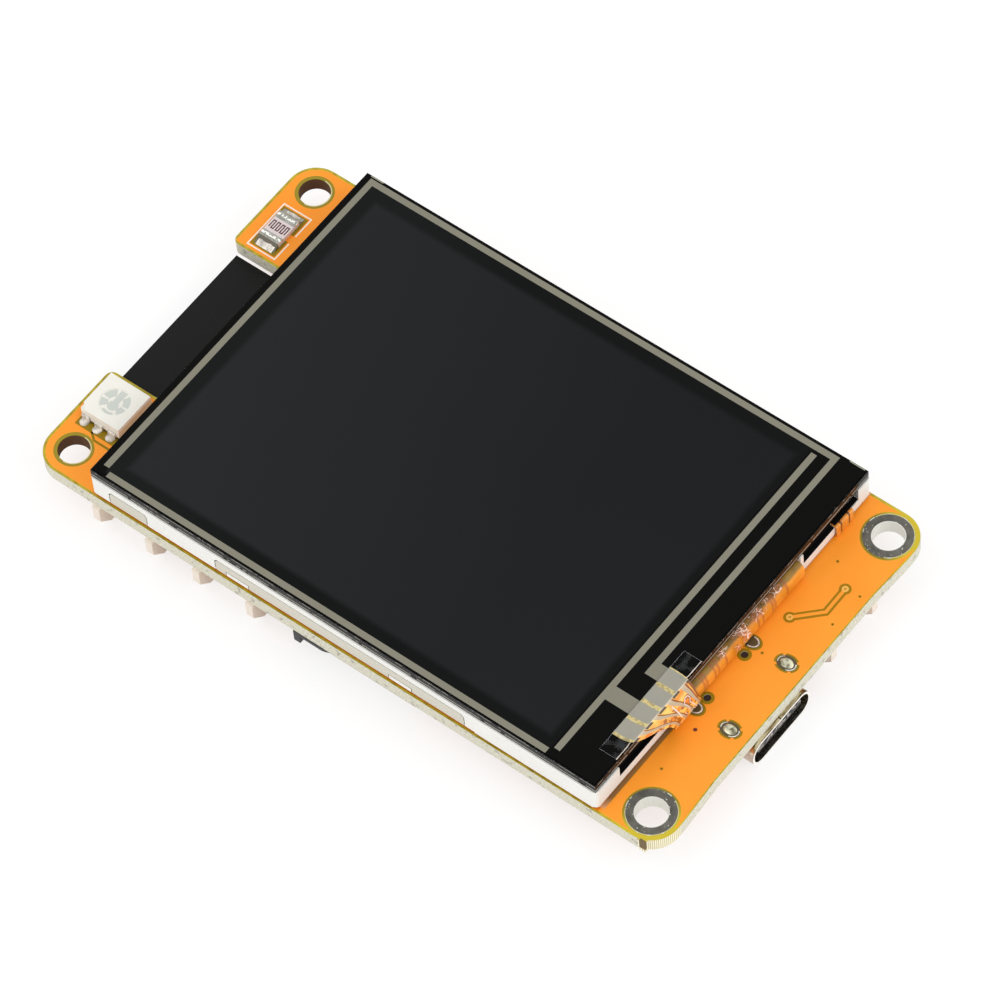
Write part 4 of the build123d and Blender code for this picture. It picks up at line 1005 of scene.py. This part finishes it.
marks = Shape()
for name in MARKED:
    low, high = box_mm(name)
    for side_x, side_y in ((-1, -1), (-1, 1), (1, -1), (1, 1)):
        x = (high.x if side_x > 0 else low.x) + side_x * 0.3
        y = (high.y if side_y > 0 else low.y) + side_y * 0.3
        if on_board(x, y, 0.4):
            corner_mark = [(x - side_x * MARK_REACH, y), (x, y), (x, y - side_y * MARK_REACH)]
            marks.stroke(corner_mark, 0.13, BACK_PRINT)
marks.piece("back_marks", "silk_look")

random.seed(23)
vias = []
while len(vias) < VIA_COUNT:
    x = random.uniform(-END_X, END_X)
    y = random.uniform(-SIDE_Y, SIDE_Y)
    spaced = all(math.hypot(x - other[0], y - other[1]) > VIA_SPACING for other in vias)
    if spaced and on_board(x, y, VIA_MARGIN) and not covered(x, y, VIA_MARGIN):
        vias.append((x, y))
back_tracks = Shape()
back_mask = Shape()
back_pads = Shape()
taken = []
for index, start in enumerate(vias):
    back_tracks.disc(start, (0.42, 0.42), BACK_PRINT - STEP)
    back_pads.disc(start, (0.26, 0.26), BACK_PRINT - 3 * STEP)
    back_tracks.disc(start, (0.09, 0.09), BACK_PRINT - 4 * STEP)
    for end in vias[index + 1 :]:
        found = free_run(start, end, vias, taken)
        if found:
            points, path = found
            back_tracks.stroke(path, 0.5, BACK_PRINT)
            back_mask.stroke(path, 0.26, BACK_PRINT - 2 * STEP)
            taken += points
            break
back_tracks.piece("back_tracks", "track_look")
back_mask.piece("back_track_mask", "solder_mask")
back_pads.piece("back_pads", "pad_look")

# Lamp: the die segments under its clear lens
LAMP = (-33.88, -12.73)
lens_z = lamp_high.z - 0.03
dies = Shape()
stem = [(-0.3, -0.3), (0.3, -0.3), (0.38, 1.42), (-0.38, 1.42)]
dies.polygon([(LAMP[0] + x, LAMP[1] + y) for x, y in stem], lens_z)
dies.disc((LAMP[0], LAMP[1] - 0.42), (0.56, 0.56), lens_z + 0.002)
for start, end in ((-50, -8), (4, 60), (120, 176), (188, 226)):
    dies.ring(LAMP, (0.74, 0.74), (1.53, 1.53), lens_z, start, end, 12)
dies.ring(LAMP, (1.2, 1.2), (1.48, 1.48), lens_z, 244, 296, 10)
dies.piece("lamp_dies", "die_look")

# Low corner of the lamp's housing, under its bevelled top corner
corner = Shape()
foot = [(0.75, 0.06), (0.75, 0.75), (0.06, 0.75), (0.06, 0.3), (0.3, 0.06)]
corner.prism([(lamp_low.x + x, lamp_low.y + y) for x, y in foot], 0.0, 1.2)
corner.piece("lamp_corner", "led_white")

# Slopes from the board's relieved end to its round corners
slopes = Shape()
for side in (-1, 1):
    outline = [
        (END_X - END_RELIEF - 0.02, side * RELIEF_Y),
        (END_X, side * RELIEF_Y),
        (END_X - END_RELIEF, side * (RELIEF_Y - RELIEF_RUN)),
    ]
    slopes.prism(outline, BOARD_BACK, BOARD_TOP)
slopes.piece("edge_slopes", "solder_mask")

# Sensor: the dark meander across its face
MEANDER_X = -35.39
MEANDER_PITCH = 0.273
MEANDER_Y = (12.45, 13.36)
zigzag = []
for stroke in range(8):
    x = MEANDER_X + MEANDER_PITCH * stroke
    near_y, far_y = MEANDER_Y if stroke % 2 == 0 else MEANDER_Y[::-1]
    zigzag += [(x, near_y), (x, far_y)]
meander = Shape()
meander.stroke(zigzag, 0.125, sensor_high.z + PRINT)
meander.piece("sensor_meander", "meander_look")


# Flexes


def smooth_points(path, count):
    """Evenly spaced points on a smooth curve through a path of number tuples."""
    padded = [path[0], *path, path[-1]]
    dense = []
    for index in range(len(path) - 1):
        a, b, c, d = (Vector(padded[index + shift]) for shift in range(4))
        bend = 2 * a - 5 * b + 4 * c - d
        twist = 3 * b - a - 3 * c + d
        for part in range(16):
            t = part / 16
            dense.append(0.5 * (2 * b + (c - a) * t + bend * t**2 + twist * t**3))
    dense.append(Vector(path[-1]))
    return [dense[round(index * (len(dense) - 1) / (count - 1))] for index in range(count)]


# Touch flex stations: x, z, near y and far y
FLEX_PATH = [
    (28.2, FILM_TOP + 0.08, -15.85, -7.0),
    (29.4, FILM_TOP + 0.08, -15.8, -7.0),
    (30.3, FILM_TOP + 0.07, -15.5, -7.1),
    (30.7, 3.85, -14.5, -7.1),
    (31.0, 3.25, -12.95, -7.05),
    (31.3, 2.5, -11.5, -7.0),
    (31.42, 1.9, -11.0, -6.8),
    (31.35, 1.0, -10.6, -6.4),
    (30.95, 0.3, -10.3, -6.1),
    (30.1, 0.1, -10.2, -6.0),
    (28.2, 0.1, -10.2, -6.0),
]
FLEX_STATIONS = 46
FLEX_COLUMNS = 13


def flex_rows(lift):
    """Rows of points down the touch flex, lifted outward from its middle surface."""
    x_z = smooth_points([(x, z, 0) for x, z, _, _ in FLEX_PATH], FLEX_STATIONS)
    sides = smooth_points([(near, far, 0) for _, _, near, far in FLEX_PATH], FLEX_STATIONS)
    steps = [column / (FLEX_COLUMNS - 1) for column in range(FLEX_COLUMNS)]
    rows = []
    for index, (x, z, _) in enumerate(x_z):
        before = x_z[max(index - 1, 0)]
        after = x_z[min(index + 1, FLEX_STATIONS - 1)]
        heading = (after - before).normalized()
        near, far, _ = sides[index]
        x, z = x - heading.y * lift, z + heading.x * lift
        rows.append([(x, near + (far - near) * step, z) for step in steps])
    return rows


touch_flex = Shape()
touch_flex.grid(flex_rows(0.04))
touch_flex.grid([row[::-1] for row in flex_rows(-0.04)])
flex_piece = touch_flex.piece("touch_flex_film", "touch_flex_look", smooth=True)
layer = flex_piece.data.uv_layers.new(name="across")
for loop in flex_piece.data.loops:
    row, column = divmod(loop.vertex_index, FLEX_COLUMNS)
    across = column / (FLEX_COLUMNS - 1)
    if row >= FLEX_STATIONS:
        across = 1 - across
    layer.data[loop.index].uv = (across, (row % FLEX_STATIONS) / (FLEX_STATIONS - 1))
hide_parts("touch_flex")


def crumpled(name, patch, lift, rough, seed):
    """A clear crumpled film over a patch of rows, pushed out unevenly."""
    random.seed(seed)
    rows = []
    for row in patch:
        moved = []
        for x, y, z in row:
            out = random.uniform(0, rough)
            aside = random.uniform(-rough, rough)
            up = random.uniform(0, rough)
            moved.append((x + out + lift, y + aside, z + up))
        rows.append(moved)
    film = Shape()
    film.grid(rows)
    film.piece(name, "crease_look")


def flex_x(z):
    """How far out the touch flex stands at a height."""
    for (x0, z0, _, _), (x1, z1, _, _) in zip(FLEX_PATH, FLEX_PATH[1:]):
        if z1 <= z <= z0:
            return x0 + (x1 - x0) * (z0 - z) / max(z0 - z1, 0.001)
    return FLEX_PATH[-1][0]


# Painted highlights on the creases of the tape on the flex: width, then (y, height) points
CREASES = [
    (0.10, [(-8.87, 3.01), (-8.54, 3.45), (-8.13, 3.41), (-8.0, 3.03), (-8.22, 2.74), (-7.8, 1.95)]),
    (0.10, [(-7.8, 1.95), (-7.39, 1.06)]),
    (0.08, [(-7.39, 1.06), (-7.6, 0.98), (-8.08, 1.67), (-8.26, 1.23), (-8.47, 1.9), (-8.59, 2.47)]),
    (0.08, [(-8.59, 2.47), (-8.87, 3.01)]),
    (0.14, [(-10.19, 3.9), (-9.94, 3.14), (-9.64, 2.1)]),
    (0.06, [(-10.28, 0.89), (-9.84, 0.98), (-9.63, 1.39), (-9.07, 0.99), (-8.79, 1.35), (-8.3, 1.0)]),
    (0.06, [(-9.2, 2.2), (-8.9, 1.7), (-9.1, 1.2)]),
]
creases = Shape()
for width, path in CREASES:
    for (y0, z0), (y1, z1) in zip(path, path[1:]):
        run = Vector((y1 - y0, z1 - z0)).normalized() * width / 2
        left = [(y0 - run.y, z0 + run.x), (y1 - run.y, z1 + run.x)]
        right = [(y1 + run.y, z1 - run.x), (y0 + run.y, z0 - run.x)]
        creases.add([(flex_x(z) + 0.1, y, z) for y, z in left + right], [(0, 1, 2, 3)])
creases.piece("flex_creases", "crease_highlight_look")

# Clear tape over the flex and its pads, folded down over the film's edge
OVER_FLEX = (-15.9, -6.95)
tape_rows = []
for index in range(41):
    y = TAPE_MID_Y + TAPE_REACH * (index / 20 - 1)
    tape_z = FILM_TOP + (0.14 if OVER_FLEX[0] < y < OVER_FLEX[1] else 0.03)
    row = [(x, y, tape_z) for x in (TAPE_START_X, 29.2, FOLD_X)]
    tape_rows.append(row + [(film_high.x + 0.06, y, tape_z - 0.03)])
cover = Shape()
cover.grid(tape_rows)
cover_piece = cover.piece("cover_tape_film", "tape_look")
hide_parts("cover_tape")

# Crumpled clear tape round the bend of the display flex
BEND_X = 29.9
BEND_Z = 1.36
BEND_R = 1.12


def wrapped(near_y, far_y, start, end):
    """Rows of points round the bend of the display flex, angles in degrees from straight up."""
    rows = []
    for angle in range(start, end, 10):
        x = BEND_X + BEND_R * math.sin(math.radians(angle))
        z = BEND_Z + BEND_R * math.cos(math.radians(angle))
        rows.append([(x, near_y + (far_y - near_y) * part / 22, z) for part in range(23)])
    return rows


crumpled("display_flex_cover", wrapped(-2.8, 6.9, -20, 41), 0.05, 0.16, 11)
crumpled("display_flex_crumple", wrapped(-0.8, 1.6, -20, 101), 0.05, 0.14, 4)
crumpled("display_flex_fold", wrapped(2.0, 4.4, -20, 51), 0.07, 0.18, 9)

# Receptacle: its seam, a dark line of painted shade, and its rolled rim, painted bright as a highlight
seam = Shape()
start_x, end_x = shell_high.x - 2.2, shell_high.x + 0.001
near_y, far_y = USB_Y - 0.06, USB_Y + 0.06
seam_line = [(start_x, near_y), (end_x, near_y), (end_x, far_y), (start_x, far_y)]
seam.prism(seam_line, BOARD_BACK, BOARD_BACK + 0.006)
seam.piece("shell_seam", "hole_shade_look")


def rounded(half_wid, half_high, radius, steps=10):
    """Closed outline of a rectangle with round corners, as (across, up) points."""
    points = []
    for start, (side, up) in zip((0, 90, 180, 270), ((1, 1), (-1, 1), (-1, -1), (1, -1))):
        centre = (side * (half_wid - radius), up * (half_high - radius))
        turns = [math.radians(start + 90 * index / steps) for index in range(steps + 1)]
        points += [on_oval(centre, (radius, radius), turn) for turn in turns]
    return points + points[:1]


MOUTH_R = 1.5
MOUTH_RIM = 0.28
mouth_z = (shell_low.z + BOARD_BACK) / 2
half_high = (BOARD_BACK - shell_low.z) / 2
rim = Shape()
rim_rows = []
for inset in (MOUTH_RIM, 0.0):
    outline = rounded(SHELL_WID / 2 - inset, half_high - inset, MOUTH_R - inset)
    rim_rows.append([(shell_high.x + STEP, USB_Y + across, mouth_z + up) for across, up in outline])
rim.grid(rim_rows)
# Painted highlight: the rim is a brighter copy of the shell's nickel
rim.piece("mouth_rim", "rim_highlight_look")


# Floor, lights and camera, in metres

FLOOR_HALF = 1.2
floor_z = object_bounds()[0].z
floor_corners = [(x * FLOOR_HALF, y * FLOOR_HALF, floor_z) for x, y in ((-1, -1), (1, -1), (1, 1), (-1, 1))]
floor_mesh = bpy.data.meshes.new("floor")
floor_mesh.from_pydata(floor_corners, [], [(0, 1, 2, 3)])
floor = bpy.data.objects.new("floor", floor_mesh)
scene.collection.objects.link(floor)
material("floor_look", rgb(253, 253, 253), 0.9, paint_floor, Emission_Strength=1.0)
floor_mesh.materials.append(looks["floor_look"])


LIGHT_SIZE = 0.50


def area_light(name, place, power):
    """A soft square light at a place, turned to the origin."""
    data = bpy.data.lights.new(name, "AREA")
    data.size = LIGHT_SIZE
    data.energy = power
    light = bpy.data.objects.new(name, data)
    light.location = place
    light.rotation_euler = (-Vector(place)).to_track_quat("-Z", "Y").to_euler()
    scene.collection.objects.link(light)


area_light("key_light", (-0.25, -0.30, 0.55), 0.9)
area_light("side_light", (0.55, 0.10, 0.40), 1.5)
area_light("near_light", (0.10, -0.60, 0.25), 0.5)

world = bpy.data.worlds.new("studio")
scene.world = world
world.use_nodes = True
sky = Wire(world.node_tree)
backdrop = world.node_tree.nodes["Background"]
sky.plug(sky.mix(sky.looked_at(), (0.8, 0.8, 0.8, 1), (1, 1, 1, 1)), backdrop.inputs["Color"])
backdrop.inputs["Strength"].default_value = 1.0

# Camera of the photographed view: its axes, and its place in millimetres
camera_data = bpy.data.cameras.new("camera")
camera_data.sensor_width = 36
camera_data.lens = 242.25
camera_data.clip_start = 0.05
camera_data.clip_end = 10
camera = bpy.data.objects.new("camera", camera_data)
right = Vector((0.79037, 0.60980, -0.05877))
down = Vector((0.48452, -0.68093, -0.54916))
forward = Vector((-0.37490, 0.40557, -0.83365))
turned = Matrix((right, -down, -forward)).transposed().to_4x4()
camera.matrix_world = Matrix.Translation(Vector((240.661, -257.387, 530.164)) * MM) @ turned
scene.collection.objects.link(camera)
scene.camera = camera
scene.view_settings.view_transform = "Standard"
